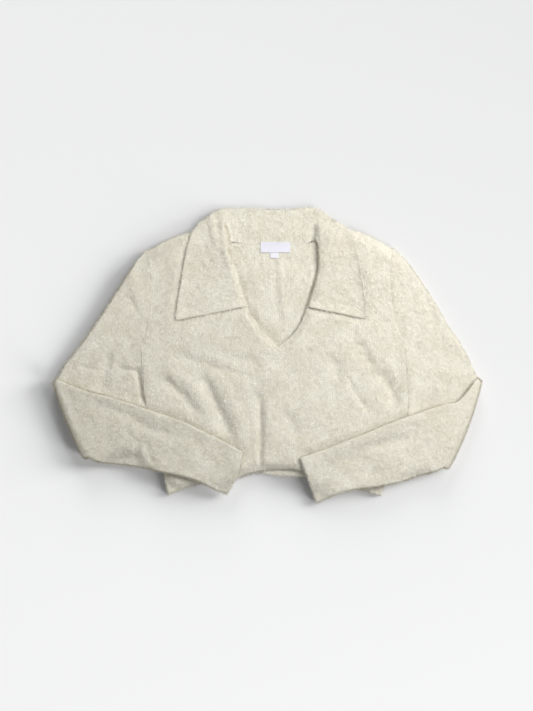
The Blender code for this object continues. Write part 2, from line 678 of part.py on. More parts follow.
def build_sweater():
    ivory = cloth_material("brushed_knit", IVORY, 0.95)
    white = cloth_material("label_tape", LABEL_WHITE, 0.6)
    front_halves, back_halves = body_halves()
    front_plan, front_faces = panel_plan(front_halves, LOW_ROWS)
    back_plan, back_faces = panel_plan(back_halves, LOW_ROWS + BACK_ROWS)
    front_mask = inside(outline_of(front_plan, front_faces))
    back_mask = inside(outline_of(back_plan, back_faces))
    right_upper = RIGHT_UPPER_ARM + (RIGHT_ELBOW,)
    left_upper = LEFT_UPPER_ARM + (LEFT_ELBOW,)
    arm_mask = inside(closed_outline(right_upper, -1)) | inside(closed_outline(left_upper, 1))
    cloth_mask = front_mask | back_mask | arm_mask

    lines, collar_plan = collar_lines()
    collar_outline = np.vstack([collar_plan[0], collar_plan[-1][::-1]])
    right_forearm = closed_outline((RIGHT_ELBOW,) + RIGHT_FOREARM, -1)
    left_forearm = closed_outline((LEFT_ELBOW,) + LEFT_FOREARM, 1)
    forearm_mask = inside(right_forearm) | inside(left_forearm)
    press = np.maximum(FOREARM_PRESS * forearm_mask, COLLAR_PRESS * inside(collar_outline))
    pressed = soften(press, PRESSED_SOFTNESS)
    opening = soften((back_mask & ~front_mask).astype(float), NECK_SOFTNESS)
    swell = smooth_step(2 * soften(cloth_mask.astype(float), EDGE_SOFTNESS) - 1)
    crown = 1 - ((grid_x - CROWN_MIDDLE_X) / CROWN_HALF_WIDTH) ** 2
    air = FRONT_AIR + CROWN_HEIGHT * np.maximum(crown, 0)
    open_share = smooth_step((grid_x - OPEN_NECK_X[0]) / (OPEN_NECK_X[1] - OPEN_NECK_X[0]))
    open_share *= smooth_step((grid_y - OPEN_NECK_Y[0]) / (OPEN_NECK_Y[1] - OPEN_NECK_Y[0]))
    neck_press = NECK_PRESS + (OPEN_NECK_PRESS - NECK_PRESS) * open_share
    air = air * swell * (1 - pressed) * np.clip(1 - neck_press * opening, 0, 1)

    def body_lift(x, y):
        """How far the front stands off the back."""
        shift = (folds_height(FRONT_FOLDS, x, y) + lumps(x, y)) * (1 - read(pressed, x, y))
        shift *= smooth_step(read(swell, x, y) * EDGE_SLOPE)
        return np.maximum(read(air, x, y) + shift, 0)

    front_rest = WALL + SEAM_GAP
    front_top = np.where(front_mask, front_rest + body_lift(grid_x, grid_y) + WALL, 0)
    back_top = np.where(back_mask, WALL, 0)
    body_top = np.maximum(front_top, back_top)
    arm_top = np.maximum(arm_heights(right_upper, -1), arm_heights(left_upper, 1))
    under_forearm = clear_above(np.maximum(body_top, arm_top))
    forearm_rest = bridge(spread(under_forearm, FOREARM_REACH), FOREARM_SPAN)
    forearm_rest = soften(forearm_rest, FOREARM_SAG)
    collar_rest = soften(spread(clear_above(body_top), COLLAR_REACH), COLLAR_SAG)

    back_low = np.zeros(len(back_plan))
    front_low = front_rest + body_lift(*front_plan.T)
    tab_rest = WALL + SEAM_GAP
    label_foot = tab_rest + TAB_THICKNESS + SEAM_GAP
    made = [
        sheet_body("back", back_plan, back_faces, back_low, back_low + WALL, RIM_INSET, ivory),
        sheet_body("front", front_plan, front_faces, front_low, front_low + WALL, RIM_INSET, ivory),
        sleeve_body("right_sleeve", RIGHT_UPPER_ARM, RIGHT_ELBOW, RIGHT_FOREARM, -1,
                    forearm_rest, body_lift, ivory),
        sleeve_body("left_sleeve", LEFT_UPPER_ARM, LEFT_ELBOW, LEFT_FOREARM, 1,
                    forearm_rest, body_lift, ivory),
        collar_body("collar", lines, collar_plan, collar_rest, ivory),
        tape_body("neck_label", LABEL_MIDDLE, LABEL_SIZE, LABEL_THICKNESS,
                  label_foot, tab_rest, LABEL_LAP, white),
        tape_body("size_tab", TAB_MIDDLE, TAB_SIZE, TAB_THICKNESS, tab_rest, tab_rest, 0.0, white),
    ]
    return made


def centre_on_floor(objects):
    """Moves the origin to the middle of the sweater's box, on the surface it lies on."""
    corners = np.array([vertex.co for made in objects for vertex in made.data.vertices])
    middle = (corners.min(axis=0) + corners.max(axis=0)) / 2
    for made in objects:
        for vertex in made.data.vertices:
            vertex.co.x -= middle[0]
            vertex.co.y -= middle[1]


for old in list(bpy.data.objects):
    bpy.data.objects.remove(old)
centre_on_floor(build_sweater())
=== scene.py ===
import json
import math

import bpy
import numpy as np
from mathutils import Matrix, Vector
from mathutils.bvhtree import BVHTree

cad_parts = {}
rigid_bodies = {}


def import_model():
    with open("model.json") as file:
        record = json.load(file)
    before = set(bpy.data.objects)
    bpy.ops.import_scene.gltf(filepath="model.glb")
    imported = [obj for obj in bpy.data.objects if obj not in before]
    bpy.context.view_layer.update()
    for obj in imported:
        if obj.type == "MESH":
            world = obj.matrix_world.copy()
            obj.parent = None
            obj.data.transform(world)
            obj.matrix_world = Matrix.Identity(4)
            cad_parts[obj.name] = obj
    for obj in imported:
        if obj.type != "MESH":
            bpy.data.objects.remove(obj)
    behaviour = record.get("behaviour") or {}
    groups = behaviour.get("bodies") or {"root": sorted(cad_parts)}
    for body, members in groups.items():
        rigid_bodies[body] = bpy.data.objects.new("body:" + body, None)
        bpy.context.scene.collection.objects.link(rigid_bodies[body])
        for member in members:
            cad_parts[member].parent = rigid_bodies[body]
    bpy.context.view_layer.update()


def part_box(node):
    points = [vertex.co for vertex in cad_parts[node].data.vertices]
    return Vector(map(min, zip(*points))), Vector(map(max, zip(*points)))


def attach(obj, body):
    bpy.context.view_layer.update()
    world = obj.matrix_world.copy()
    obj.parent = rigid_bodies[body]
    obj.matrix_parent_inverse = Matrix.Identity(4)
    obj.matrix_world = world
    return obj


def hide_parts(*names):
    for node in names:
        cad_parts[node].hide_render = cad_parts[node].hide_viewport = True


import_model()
scene = bpy.context.scene
print("frame loaded")

mm = 0.001  # sizes are in millimetres unless a note says otherwise

# The hem is towards -Y. Left and right are the wearer's, so the left sleeve is on the +X side.

sizeTab = {
    "middle": (12.5, 166.2), "size": (13.6, 12.0), "thickness": 0.5,
    "lift": 3.7, "colour": (0.80, 0.79, 0.84),
}
tabLow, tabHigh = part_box("size_tab")
placeShift = np.array([  # from the cutting plan's own zero to the frame's
    (tabLow.x + tabHigh.x) / 2 / mm - sizeTab["middle"][0],
    (tabLow.y + tabHigh.y) / 2 / mm - sizeTab["middle"][1],
    0.0,
])

cloth = {
    "wall": 3.0,
    "seamGap": 0.3,
    "air": 5.5, "crown": 3.5,  # how far the front stands off the back, and more so in its middle
    "crownMiddle": 15.0, "crownHalf": 220.0,
    "napReach": 1.6,         # how far the nap carries the outline past the cloth
    "rimSteps": 7, "rimDroop": 0.3,
    "crepe": ((31, 0.50), (14, 0.60), (7.5, 0.42)),  # size and height of its smaller unevenness
    "crepeTurn": (0.7, 1.3),  # radians: the first one's bearing, and the turn for each seed
    "sharpFrom": 60.0,       # degrees
}
swellLook = {  # the low swells of cloth laid down by hand, and the lengths that space them
    "height": 0.45, "broadX": (17, 60), "broadY": (41, 23),
    "narrow": (31, 14), "narrowShare": 0.6,
}
foldLook = {"points": 24, "reach": 2.6, "fade": 4}  # reach in widths, fade at its ends
splineSteps = 24  # on each stretch between two points
seamPoints = 60   # on each line of sewing that distances are measured from

plan = {"halfX": 375.0, "halfY": 270.0, "step": 2.5}  # the map of what lies on what
planX, planY = np.meshgrid(
    np.arange(-plan["halfX"], plan["halfX"] + plan["step"], plan["step"]),
    np.arange(-plan["halfY"], plan["halfY"] + plan["step"], plan["step"]),
)


def spline(points, count):
    knots = np.array(points, float)
    padded = np.vstack([2 * knots[0] - knots[1], knots, 2 * knots[-1] - knots[-2]])
    t = np.linspace(0, 1, splineSteps, endpoint=False)[:, None]
    runs = []
    for a, b, c, d in zip(padded, padded[1:], padded[2:], padded[3:]):
        bend = (2 * a - 5 * b + 4 * c - d) * t**2 + (3 * b - a - 3 * c + d) * t**3
        runs.append(b + 0.5 * ((c - a) * t + bend))
    dense = np.vstack(runs + [knots[-1:]])
    run = np.insert(np.cumsum(np.linalg.norm(np.diff(dense, axis=0), axis=1)), 0, 0.0)
    even = np.linspace(0, run[-1], count)
    return np.column_stack([np.interp(even, run, column) for column in dense.T])


def fillBetween(left, right, bottom, top):  # left and right run up, bottom and top run right
    up = np.linspace(0, 1, len(left))[:, None, None]
    over = np.linspace(0, 1, len(bottom))[None, :, None]
    sides = (1 - over) * left[:, None] + over * right[:, None]
    ends = (1 - up) * bottom[None] + up * top[None]
    lowCorners = (1 - up) * ((1 - over) * left[0] + over * right[0])
    highCorners = up * ((1 - over) * left[-1] + over * right[-1])
    return sides + ends - lowCorners - highCorners


def insideOf(outline):
    mask = np.zeros(planX.shape, bool)
    for (ax, ay), (bx, by) in zip(outline, np.roll(outline, -1, axis=0)):
        if ay == by:
            continue
        crosses = (planY < ay) != (planY < by)
        mask ^= crosses & (planX < ax + (planY - ay) * (bx - ax) / (by - ay))
    return mask


def stepsWithin(radius):
    reach = int(radius / plan["step"])
    steps = range(-reach, reach + 1)
    return [(i, j) for i in steps for j in steps if math.hypot(i, j) * plan["step"] <= radius]


def spread(field, radius):  # the highest value nearby
    result = field.copy()
    for step in stepsWithin(radius):
        np.maximum(result, np.roll(field, step, axis=(0, 1)), out=result)
    return result


def soften(field, radius):
    steps = stepsWithin(radius)
    return sum(np.roll(field, step, axis=(0, 1)) for step in steps) / len(steps)


def bridge(field, radius):  # hollows that the cloth spans are closed
    return -spread(-spread(field, radius), radius)


def read(field, x, y):
    column = np.clip((x + plan["halfX"]) / plan["step"], 0, field.shape[1] - 2)
    row = np.clip((y + plan["halfY"]) / plan["step"], 0, field.shape[0] - 2)
    i = row.astype(int)
    j = column.astype(int)
    a = row - i
    b = column - j
    low = field[i, j] * (1 - b) + field[i, j + 1] * b
    high = field[i + 1, j] * (1 - b) + field[i + 1, j + 1] * b
    return low * (1 - a) + high * a


def ease(value):
    value = np.clip(value, 0, 1)
    return value * value * (3 - 2 * value)


def across(start, end):  # level, square to a line, on its left
    line = np.asarray(end, float) - np.asarray(start, float)
    return np.array([-line[1], line[0]]) / np.linalg.norm(line)


def unit(vectors):
    return vectors / np.maximum(np.linalg.norm(vectors, axis=-1, keepdims=True), 1e-9)


def scatter(i, j, seed):  # a fixed number from 0 to 1 for each pair of whole numbers
    mixed = (i * 374761393 + j * 668265263 + seed * 974634777) & 0xFFFFFFFF
    mixed = ((mixed ^ (mixed >> 13)) * 1274126177) & 0xFFFFFFFF
    return ((mixed ^ (mixed >> 16)) & 0xFFFF) / 65535


def grain(x, y, size, seed):  # smooth unevenness from -1 to 1
    first, each = cloth["crepeTurn"]
    turn = first + each * seed
    u = (x * math.cos(turn) + y * math.sin(turn)) / size
    v = (y * math.cos(turn) - x * math.sin(turn)) / size
    i = np.floor(u).astype(np.int64)
    j = np.floor(v).astype(np.int64)
    a = ease(u - i)
    b = ease(v - j)
    low = scatter(i, j, seed) * (1 - a) + scatter(i + 1, j, seed) * a
    high = scatter(i, j + 1, seed) * (1 - a) + scatter(i + 1, j + 1, seed) * a
    return 2 * (low * (1 - b) + high * b) - 1


def crepe(x, y, seed):
    return sum(height * grain(x, y, size, seed + place)
               for place, (size, height) in enumerate(cloth["crepe"]))


def swells(x, y):
    (firstX, secondX), (firstY, secondY) = swellLook["broadX"], swellLook["broadY"]
    broad = np.sin(x / firstX + y / firstY) * np.sin(y / secondY - x / secondX)
    narrowX, narrowY = swellLook["narrow"]
    narrow = np.sin(x / narrowX - y / narrowY)
    return swellLook["height"] * (broad + swellLook["narrowShare"] * narrow)


def foldHeight(fold, x, y):  # a path, its width on the left and right, and its height
    path, left, right, height = fold
    line = spline(path, foldLook["points"])
    result = np.zeros(x.shape)
    reach = foldLook["reach"] * max(left, right)
    near = (x > line[:, 0].min() - reach) & (x < line[:, 0].max() + reach)
    near &= (y > line[:, 1].min() - reach) & (y < line[:, 1].max() + reach)
    points = np.stack([x[near], y[near]], axis=-1)[..., None, :]
    start = line[:-1]
    along = line[1:] - start
    share = np.clip(np.sum((points - start) * along, -1) / np.sum(along**2, -1), 0, 1)
    away = points - (start + share[..., None] * along)
    distance = np.linalg.norm(away, axis=-1)
    nearest = np.argmin(distance, axis=-1)[..., None]
    turn = along[:, 0] * away[..., 1] - along[:, 1] * away[..., 0]
    turn, share, distance = [np.take_along_axis(values, nearest, axis=-1)[..., 0]
                             for values in (turn, share, distance)]
    width = np.where(turn > 0, left, right)
    run = (nearest[..., 0] + share) / len(along)
    fade = ease(foldLook["fade"] * run) * ease(foldLook["fade"] * (1 - run))
    result[near] = height * fade * np.exp(-((distance / width) ** 2))
    return result


def foldsHeight(folds, x, y):
    return sum(foldHeight(fold, x, y) for fold in folds)


def quads(numbers):  # faces of a grid of point numbers
    corners = (numbers[:-1, :-1], numbers[:-1, 1:], numbers[1:, 1:], numbers[1:, :-1])
    return np.stack(corners, axis=-1).reshape(-1, 4)


def rimOrder(faces):  # the numbers of the points round the edge of a sheet
    start = faces.ravel()
    end = np.roll(faces, -1, axis=1).ravel()
    size = faces.max() + 1
    open_ = ~np.isin(start * size + end, end * size + start)
    following = dict(zip(start[open_].tolist(), end[open_].tolist()))
    order = [min(following)]
    while following[order[-1]] != order[0]:
        order.append(following[order[-1]])
    return np.array(order)


def makeMesh(name, points, faces, materials, slots=None):
    faces = np.asarray(faces, np.int32)
    mesh = bpy.data.meshes.new(name)
    mesh.vertices.add(len(points))
    placed = ((np.asarray(points) + placeShift) * mm).astype(np.float32)
    mesh.vertices.foreach_set("co", placed.ravel())
    mesh.loops.add(faces.size)
    mesh.loops.foreach_set("vertex_index", faces.ravel())
    mesh.polygons.add(len(faces))
    starts = np.arange(0, faces.size, faces.shape[1], dtype=np.int32)
    mesh.polygons.foreach_set("loop_start", starts)
    for material in materials:
        mesh.materials.append(material)
    if slots is not None:
        mesh.polygons.foreach_set("material_index", np.asarray(slots, np.int32))
    mesh.update(calc_edges=True)
    mesh.validate()
    mesh.shade_smooth()
    mesh.set_sharp_from_angle(angle=math.radians(cloth["sharpFrom"]))
    made = bpy.data.objects.new(name, mesh)
    scene.collection.objects.link(made)
    return made


def shell(name, flat, faces, low, high, flow, wale, inset, pull=0.0):
    # A closed sheet between the heights low and high over the flat points, with a round rim.
    # flow is the way the nap lies, wale the place across the rows of knit, inset the
    # roundness of the rim and pull how far the whole rim is drawn in.
    order = rimOrder(faces)
    loop = flat[order]
    tangent = np.roll(loop, -1, axis=0) - np.roll(loop, 1, axis=0)
    outward = unit(np.column_stack([tangent[:, 1], -tangent[:, 0]]))
    inset = np.broadcast_to(inset, len(flat))[order, None]
    loop = loop - np.broadcast_to(pull, len(flat))[order, None] * outward
    pulled = flat.copy()
    pulled[order] = loop - inset * outward
    rings = [order]
    points = [np.column_stack([pulled, high]), np.column_stack([pulled, low])]
    flows = [flow, flow]
    count = len(flat)
    middle = (low[order] + high[order]) / 2
    half = (high[order] - low[order]) / 2
    for place in range(1, cloth["rimSteps"]):
        angle = math.pi * (0.5 - place / cloth["rimSteps"])
        ring = loop - inset * (1 - math.cos(angle)) * outward
        points.append(np.column_stack([ring, middle + half * math.sin(angle)]))
        flows.append(np.column_stack([outward, np.full(len(order), -cloth["rimDroop"])]))
        rings.append(2 * count + (place - 1) * len(order) + np.arange(len(order)))
    rings.append(count + order)
    rim = quads(np.array([np.append(ring, ring[0]) for ring in rings]))[:, ::-1]
    allFaces = np.vstack([faces, faces[:, ::-1] + count, rim])
    around = np.arange(len(order), dtype=float)
    wale = np.concatenate([wale, wale, np.tile(around, len(points) - 2)])
    return {"name": name, "points": np.vstack(points), "faces": allFaces,
            "flow": np.vstack(flows), "wale": wale}


# ---- the body: a front and a back, each cut as two halves that share a middle line ----

bodyCut = {
    "rightSide": ((-164, -232), (-181, -156), (-199, -82), (-205, -27)),
    "leftSide": ((189, -233), (212, -164), (232, -95), (231, -37)),
    "rightShoulder": ((-163, 191), (-128, 203), (-70, 214)),
    "leftShoulder": ((172, 196), (136, 208), (85, 214)),
    "frontHem": ((-164, -232), (-128, -218), (-87, -210), (-50, -205), (-29, -197), (-2, -191),
                 (21, -190), (50, -191), (103, -205), (153, -222), (189, -233)),
    "backHem": ((-164, -232), (-128, -219), (-87, -211), (-50, -205), (-16, -196),
                (21, -201), (59, -203), (103, -210), (153, -224), (189, -233)),
    "vPoint": (19, 16),
    "rightV": ((9, 27), (-11, 48), (-34, 87), (-46, 129), (-58, 172), (-64, 195), (-70, 214)),
    "leftV": ((39, 32), (55, 55), (70, 94), (80, 125), (84, 154), (85, 182), (85, 214)),
    "backNeckMiddle": (8, 184),
    "rightBackNeck": ((-37, 184), (-57, 186), (-65, 197), (-70, 214)),
    "leftBackNeck": ((47, 184), (72, 185), (82, 195), (85, 214)),
}

frontLook = {
    "lowRows": 78, "highRows": 64, "halfColumns": 64, "seed": 10,
    "underForearm": 0.75, "underCollar": 0.6,  # how much of that goes under each
    "pressedSoftness": 12.0,
    "edgeSoftness": 24.0, "foldStart": 3,  # and how soon in from an edge the folds begin
    "neckSoftness": 14.0, "neckPress": 2.3,
    "openNeckPress": 1.2,    # over the wearer's left chest, below the collar
    "neckChange": ((4.0, 34.0), (96.0, 76.0)),
    "thinEdge": 0.5, "thinReach": 9.0,  # the neck edge over the wearer's right chest lies thin
    "inset": 1.5, "seamInset": 0.15, "seamReach": 2.0,
    # from here up to so far above the cut's corner the sides lie against the sleeves
    "underarm": -104.0, "sideRise": 60.0, "sideSlack": 5.0,
    "folds": (
        (((-14, -46), (-11, -88), (-10, -139), (-12, -200)), 5, 13, -6.2),
        (((-22, -58), (-20, -100), (-20, -150), (-23, -196)), 8, 5, 2.0),
        (((4, -65), (7, -115), (14, -164)), 12, 16, 1.6),
        (((-112, -18), (-100, -44), (-88, -72), (-74, -100), (-62, -128), (-54, -152)),
         9, 13, -5.4),
        (((-86, -30), (-64, -62), (-47, -104), (-40, -150)), 9, 14, 2.4),
        (((-188, -36), (-164, -46), (-140, -66), (-118, -92), (-106, -110)), 8, 10, -3.8),
        (((-178, -22), (-146, -33), (-118, -55), (-96, -84)), 9, 10, 2.2),
        (((-172, 6), (-130, -7), (-99, -16), (-46, -30), (0, -44)), 7, 9, -2.6),
        (((150, 26), (160, 8), (168, -8), (174, -24)), 7, 13, -4.2),
        (((180, -20), (196, -42), (208, -66), (216, -94)), 11, 12, -6.0),
        (((229, 20), (230.5, -12), (230.5, -45), (229, -95)), 3, 3, 0.5),
        (((205, 42), (214, 9), (217, -27), (224, -65)), 7, 7, -1.2),
        (((103, 6), (111, -17), (120, -47)), 8, 9, -2.8),
        (((39, -93), (42, -115), (52, -139)), 8, 8, -2.4),
        (((128, -32), (149, -65), (172, -101)), 5, 6, -2.2),
        (((146, 55), (143, 29), (149, 6)), 4, 4, -1.0),
        (((-88, 15), (-62, -2), (-30, -10), (-2, -28)), 9, 11, -2.2),
        (((-62, 172), (-53, 129), (-41, 87), (-19, 49), (4, 20)), 7, 8, 2.0),
        (((-199, 8), (-196, -30), (-192, -70), (-186, -108)), 6, 8, 1.2),
    ),
}

backLook = {
    "lowRows": 52, "highRows": 46, "neckRow": 28, "halfColumns": 44, "seed": 40,
    "inset": 1.5,
    "leastWall": 1.0, "mostRise": 1.8, "openSoftness": 5,  # of the unevenness that shows
    "swell": 2.6, "swellTop": (158.0, 128.0), "swellEdge": 9.0,  # in the neck opening
    "folds": (
        (((9, 178), (12, 150), (13, 122), (15, 94), (19, 66), (26, 36)), 7, 5, -1.7),
        (((17, 176), (21, 140), (24, 104), (31, 70), (40, 44)), 5, 9, 1.5),
        (((-49, 166), (-36, 148), (-25, 137)), 5, 5, -1.2),
        (((-30, 160), (-18, 120), (-6, 80)), 8, 8, 0.8),
        (((84, 190), (80, 125), (68, 88), (50, 50), (34, 26)), 11, 9, 1.2),
    ),
}

# ---- sleeves: one row for each line across the tube ----
# overarm x and y, underarm x and y, height, how far the line bows towards the body

armholeHeight = 2 * cloth["wall"] + cloth["seamGap"] + cloth["air"]
rightSleeveCut = {
    "side": -1, "bodySide": "rightSide", "shoulder": "rightShoulder",
    "snugRound": 3.6,
    "upper": (
        (-200, 173, -208, 14, armholeHeight, 13), (-215, 156, -209.4, 4, 11.8, 1),
        (-233, 130, -208.0, -8, 11.6, 1), (-255, 96, -205.9, -24, 11.2, 2),
        (-277, 63, -204.0, -47, 10.6, 1), (-299, 31, -200.6, -77, 9.8, 0),
        (-321, 2, -214, -108, 8.8, 0), (-336, -17, -258, -144, 8.2, 0),
    ),
    "elbow": (-346, -38, -293, -170, 8.0, -3.5),
    "forearm": (
        (-325, -47, -276, -178, 8.0, 0), (-293, -59, -247, -182, 8.6, 0),
        (-260, -67, -220, -185, 9.2, 0), (-224, -78, -189, -191, 9.4, 0),
        (-186, -91, -159, -197, 9.2, 0), (-148, -104, -131, -204, 9.0, 0),
        (-111, -120, -106, -213, 8.6, 0), (-75, -138, -87, -223, 8.2, 1),
        (-40, -157, -68, -231, 7.8, 4),
    ),
}
leftSleeveCut = {
    "side": 1, "bodySide": "leftSide", "shoulder": "leftShoulder",
    "snugRound": 0.35,
    "upper": (
        (208, 177, 229, 16, armholeHeight, 12), (225, 162, 230.9, 6, 11.8, 1),
        (242, 140, 230.8, -8, 11.6, 1), (260, 114, 231.2, -26, 11.2, 2),
        (280, 83, 232.0, -47, 10.6, 1), (299, 50, 233.6, -74, 9.8, 0),
        (318, 23, 236.5, -102, 8.8, 0), (335, -9, 266, -147, 8.2, 0),
    ),
    "elbow": (347, -37, 291, -187, 8.0, -5.5),
    "forearm": (
        (317, -73, 272, -195.5, 8.2, 0), (292, -79, 250, -201, 8.6, 0),
        (265, -88, 225, -210, 9.2, 0), (233, -99, 200, -215, 9.4, 0),
        (200, -111, 176, -219, 9.2, 0), (164, -126, 153, -222, 9.0, 0),
        (128, -140, 130, -227, 8.6, 0), (93, -154, 106, -235, 8.2, 0),
        (56, -166, 84, -246, 7.8, 0),
    ),
}

sleeveLook = {
    "upperStations": 58, "elbowStations": 12, "forearmStations": 72,
    "middlePoints": 34, "edgePoints": 6, "outlinePoints": 16, "seed": 10,
    "hollowSquareness": 8,
    "ridgeLimit": 3.0,       # how far a fold may stand above the tube
    "edgeFade": 9.0,         # over what width the folds die out at the tube's edges
    "seamReach": 34.0,       # over what length the tube takes up the form of the body at its seam
    "snugReach": (146.0, 180.0),  # how far down its underarm edge is pressed against the side
    "snugGap": 0.2,
    "fuzz": 0.9,
    "cuffRound": 1.3, "cuffShares": (0.12, 0.35, 0.65, 0.88),
    "forearmReach": 20.0, "forearmSpan": 44.0, "forearmSag": 10.0,
    "upperFolds": (
        (((-250, 4), (-262, -8), (-268, -28), (-274, -64)), 6, 7, -4.6),
        (((-222, 138), (-217, 116), (-210, 92)), 8, 8, 1.4),
        (((-232, 101), (-219, 80), (-205, 59)), 7, 7, -1.8),
        (((-215, 163), (-202, 146), (-191, 125)), 6, 6, -1.2),
        (((-309, -19), (-293, -21), (-275, -29)), 4, 5, -1.6),
        (((-323, -47), (-313, -52), (-303, -54)), 4, 4, -1.2),
        (((-245, -22), (-232, -22.5), (-218, -24), (-208, -26)), 2.2, 5.0, -4.2),
        (((-262, -38), (-240, -46), (-224, -56)), 11, 10, 1.6),
        (((-213, -14), (-212, -34), (-208, -58), (-203, -84)), 4.0, 4.0, -4.0),
        (((238, 14), (238, -20), (239, -50), (240, -95)), 5.0, 5.0, 0.6),
        (((262, 120), (268, 80), (284, 36)), 12, 12, -1.4),
    ),
    "forearmFolds": (
        (((-309, -80), (-276, -85), (-233, -97), (-186, -123), (-128, -136)), 9, 10, -2.4),
        (((-209, -136), (-214, -156), (-220, -177)), 6, 6, -2.0),
        (((-202, -139), (-194, -164), (-186, -184)), 6, 6, -2.0),
        (((-205, -144), (-206, -160), (-206, -172)), 4, 4, 1.0),
        (((144, -158), (186, -148), (227, -138), (268, -128)), 8, 9, -2.0),
        (((120, -205), (150, -196), (190, -190)), 9, 9, -1.2),
        (((220, -116), (245, -116.5), (268, -117)), 2, 2, -1.0),
        (((294, -94), (308, -92), (322, -90)), 2, 2, -1.0),
    ),
}

# ---- collar: one row for each line from the neck seam out to the loose edge ----
# seam x and y, edge x and y, how far the band rolls up near its seam, how much of it
# lies on the body (behind the neck it is none, and the band continues the back), and
# how far from its seam the band has its full thickness

collarCut = (
    (-32, 80, -146, 56.5, 0.6, 1, 9), (-32.6, 82, -151, 59, 0.7, 1, 9),
    (-35, 89, -151, 68, 0.9, 1, 9), (-41, 105, -148, 90, 1.2, 1, 9),
    (-47, 128, -143, 119, 1.6, 1, 9), (-53, 152, -138, 152, 2.0, 1, 9),
    (-58.5, 171, -132, 179, 2.2, 1, 9), (-60, 178, -124, 204, 2.2, 1, 9),
    (-60, 182, -111, 220, 2.0, 1, 9), (-59.5, 185, -96, 231, 1.5, 1, 9),
    (-58, 187, -82, 240, 1.0, 1, 8), (-54, 187, -67, 243, 0.3, 0.5, 6),
    (-37, 184.4, -37, 243, 0, 0, 5), (-9, 184.3, -9, 242, 0, 0, 5),
    (19, 184.3, 19, 241, 0, 0, 5), (47, 184.4, 46, 242, 0, 0, 5),
    (69, 185.8, 66, 244, 0, 0, 4), (76.4, 190.8, 76, 245, 0, 0.3, 4),
    (80.6, 188, 80, 244, 0.8, 1, 3), (82.5, 184, 90, 239, 1.0, 1, 3),
    (83.5, 179, 110, 225, 1.0, 1, 3), (84, 170, 135, 208, 1.0, 1, 3),
    (84, 157, 147, 185, 1.0, 1, 3), (83, 139, 154, 156, 1.0, 1, 3),
    (78, 118, 160, 121, 1.0, 1, 3), (71, 96, 164, 91, 1.0, 1, 3),
    (68, 86, 165, 72, 1.0, 1, 3), (66.4, 81, 163.5, 62, 0.9, 1, 3),
    (66, 79, 157, 59.5, 0.8, 1, 3),
)
collarLook = {
    "stations": 190, "rows": 38, "seed": 70,
    "rollPeak": 9.0, "rollFall": 52.0,
    "thinEdge": 0.4,
    "inset": 2.2, "neckInset": 0.75, "seamInset": 0.3, "pull": 0.9,
    "reach": 3.5, "sag": 4.5,
    "folds": (
        (((-95, 246), (-92, 220), (-86, 195), (-80, 168)), 7, 6, 2.4),
        (((-74, 246), (-73, 222), (-72, 196), (-66, 166), (-56, 130)), 6, 6, 3.0),
        (((-111, 197), (-98, 167), (-85, 134)), 5, 6, -1.2),
        (((-29, 237), (-24, 214), (-22, 190)), 9, 11, 1.2),
    ),
}


def sectionLine(station, side, share):  # from the overarm edge (0) to the underarm edge (1)
    over = np.array(station[0:2], float)
    under = np.array(station[2:4], float)
    bow = -side * across(over, under) * station[5]
    share = np.asarray(share)[:, None]
    return over + share * (under - over) + 4 * share * (1 - share) * bow


def napRoom(station, over, under):  # a line across the arm, drawn in where the nap needs room
    inward = unit(station[2:4] - station[0:2]) * cloth["napReach"]
    return np.concatenate([station[0:2] + inward * over, station[2:4] - inward * under,
                           station[4:]])


def armhole(cut, count):  # the body's edge, from the underarm up, a seam's gap from the sleeve
    station = napRoom(np.array(cut["upper"][0], float), 1, 0)
    line = sectionLine(station, cut["side"], np.linspace(1, 0, count))
    return line - cut["side"] * cloth["seamGap"] * across(line[-1], line[0])


def neckLine(look, start, neck):
    chest = np.array(bodyCut["vPoint"], float)
    if start is None:
        return spline((tuple(chest),) + neck, look["highRows"] + 1)
    rise = np.linspace(chest, np.array(start, float), look["neckRow"] + 1)
    rest = spline((start,) + neck, look["highRows"] - look["neckRow"] + 1)
    return np.vstack([rise, rest[1:]])


def sideSeam(cut, corner, count):  # up to the sleeve's underarm corner
    return spline(bodyCut[cut["bodySide"]] + (tuple(corner),), count)


def bodyHalves(look, hem, neckStart, necks):
    rows, columns = look["lowRows"] + 1, look["halfColumns"]
    hemLine = spline(hem, 2 * columns + 1)
    centre = np.linspace(hemLine[columns], np.array(bodyCut["vPoint"], float), rows)
    sides, tops = [], []
    for cut, neck in zip((rightSleeveCut, leftSleeveCut), necks):
        edge = armhole(cut, look["highRows"] + 1)
        outer = np.vstack([sideSeam(cut, edge[0], rows), edge[1:]])
        sides.append((outer, np.vstack([centre, neckLine(look, neckStart, neck)[1:]])))
        tops.append(spline((tuple(edge[-1]),) + bodyCut[cut["shoulder"]], columns + 1))
    rightHalf = fillBetween(*sides[0], hemLine[: columns + 1], tops[0])
    leftHalf = fillBetween(*sides[1][::-1], hemLine[columns:], tops[1][::-1])
    return rightHalf, leftHalf


def joinHalves(halves, openFrom):  # the halves are one up to the row openFrom
    rows, columns = halves[0].shape[:2]
    numbers = np.arange(2 * rows * columns).reshape(2, rows, columns)
    numbers[1, : openFrom + 1, 0] = numbers[0, : openFrom + 1, -1]
    used, index = np.unique(numbers, return_inverse=True)
    index = index.reshape(numbers.shape)
    flat = np.vstack([half.reshape(-1, 2) for half in halves])[used]
    return flat, np.vstack([quads(index[0]), quads(index[1])])


def closedOutline(stations, side):
    first = sectionLine(stations[0], side, np.linspace(0, 1, sleeveLook["outlinePoints"]))
    over = [row[0:2] for row in stations[1:]]
    under = [row[2:4] for row in stations[1:]]
    return np.vstack([first[::-1], over, under[::-1]])


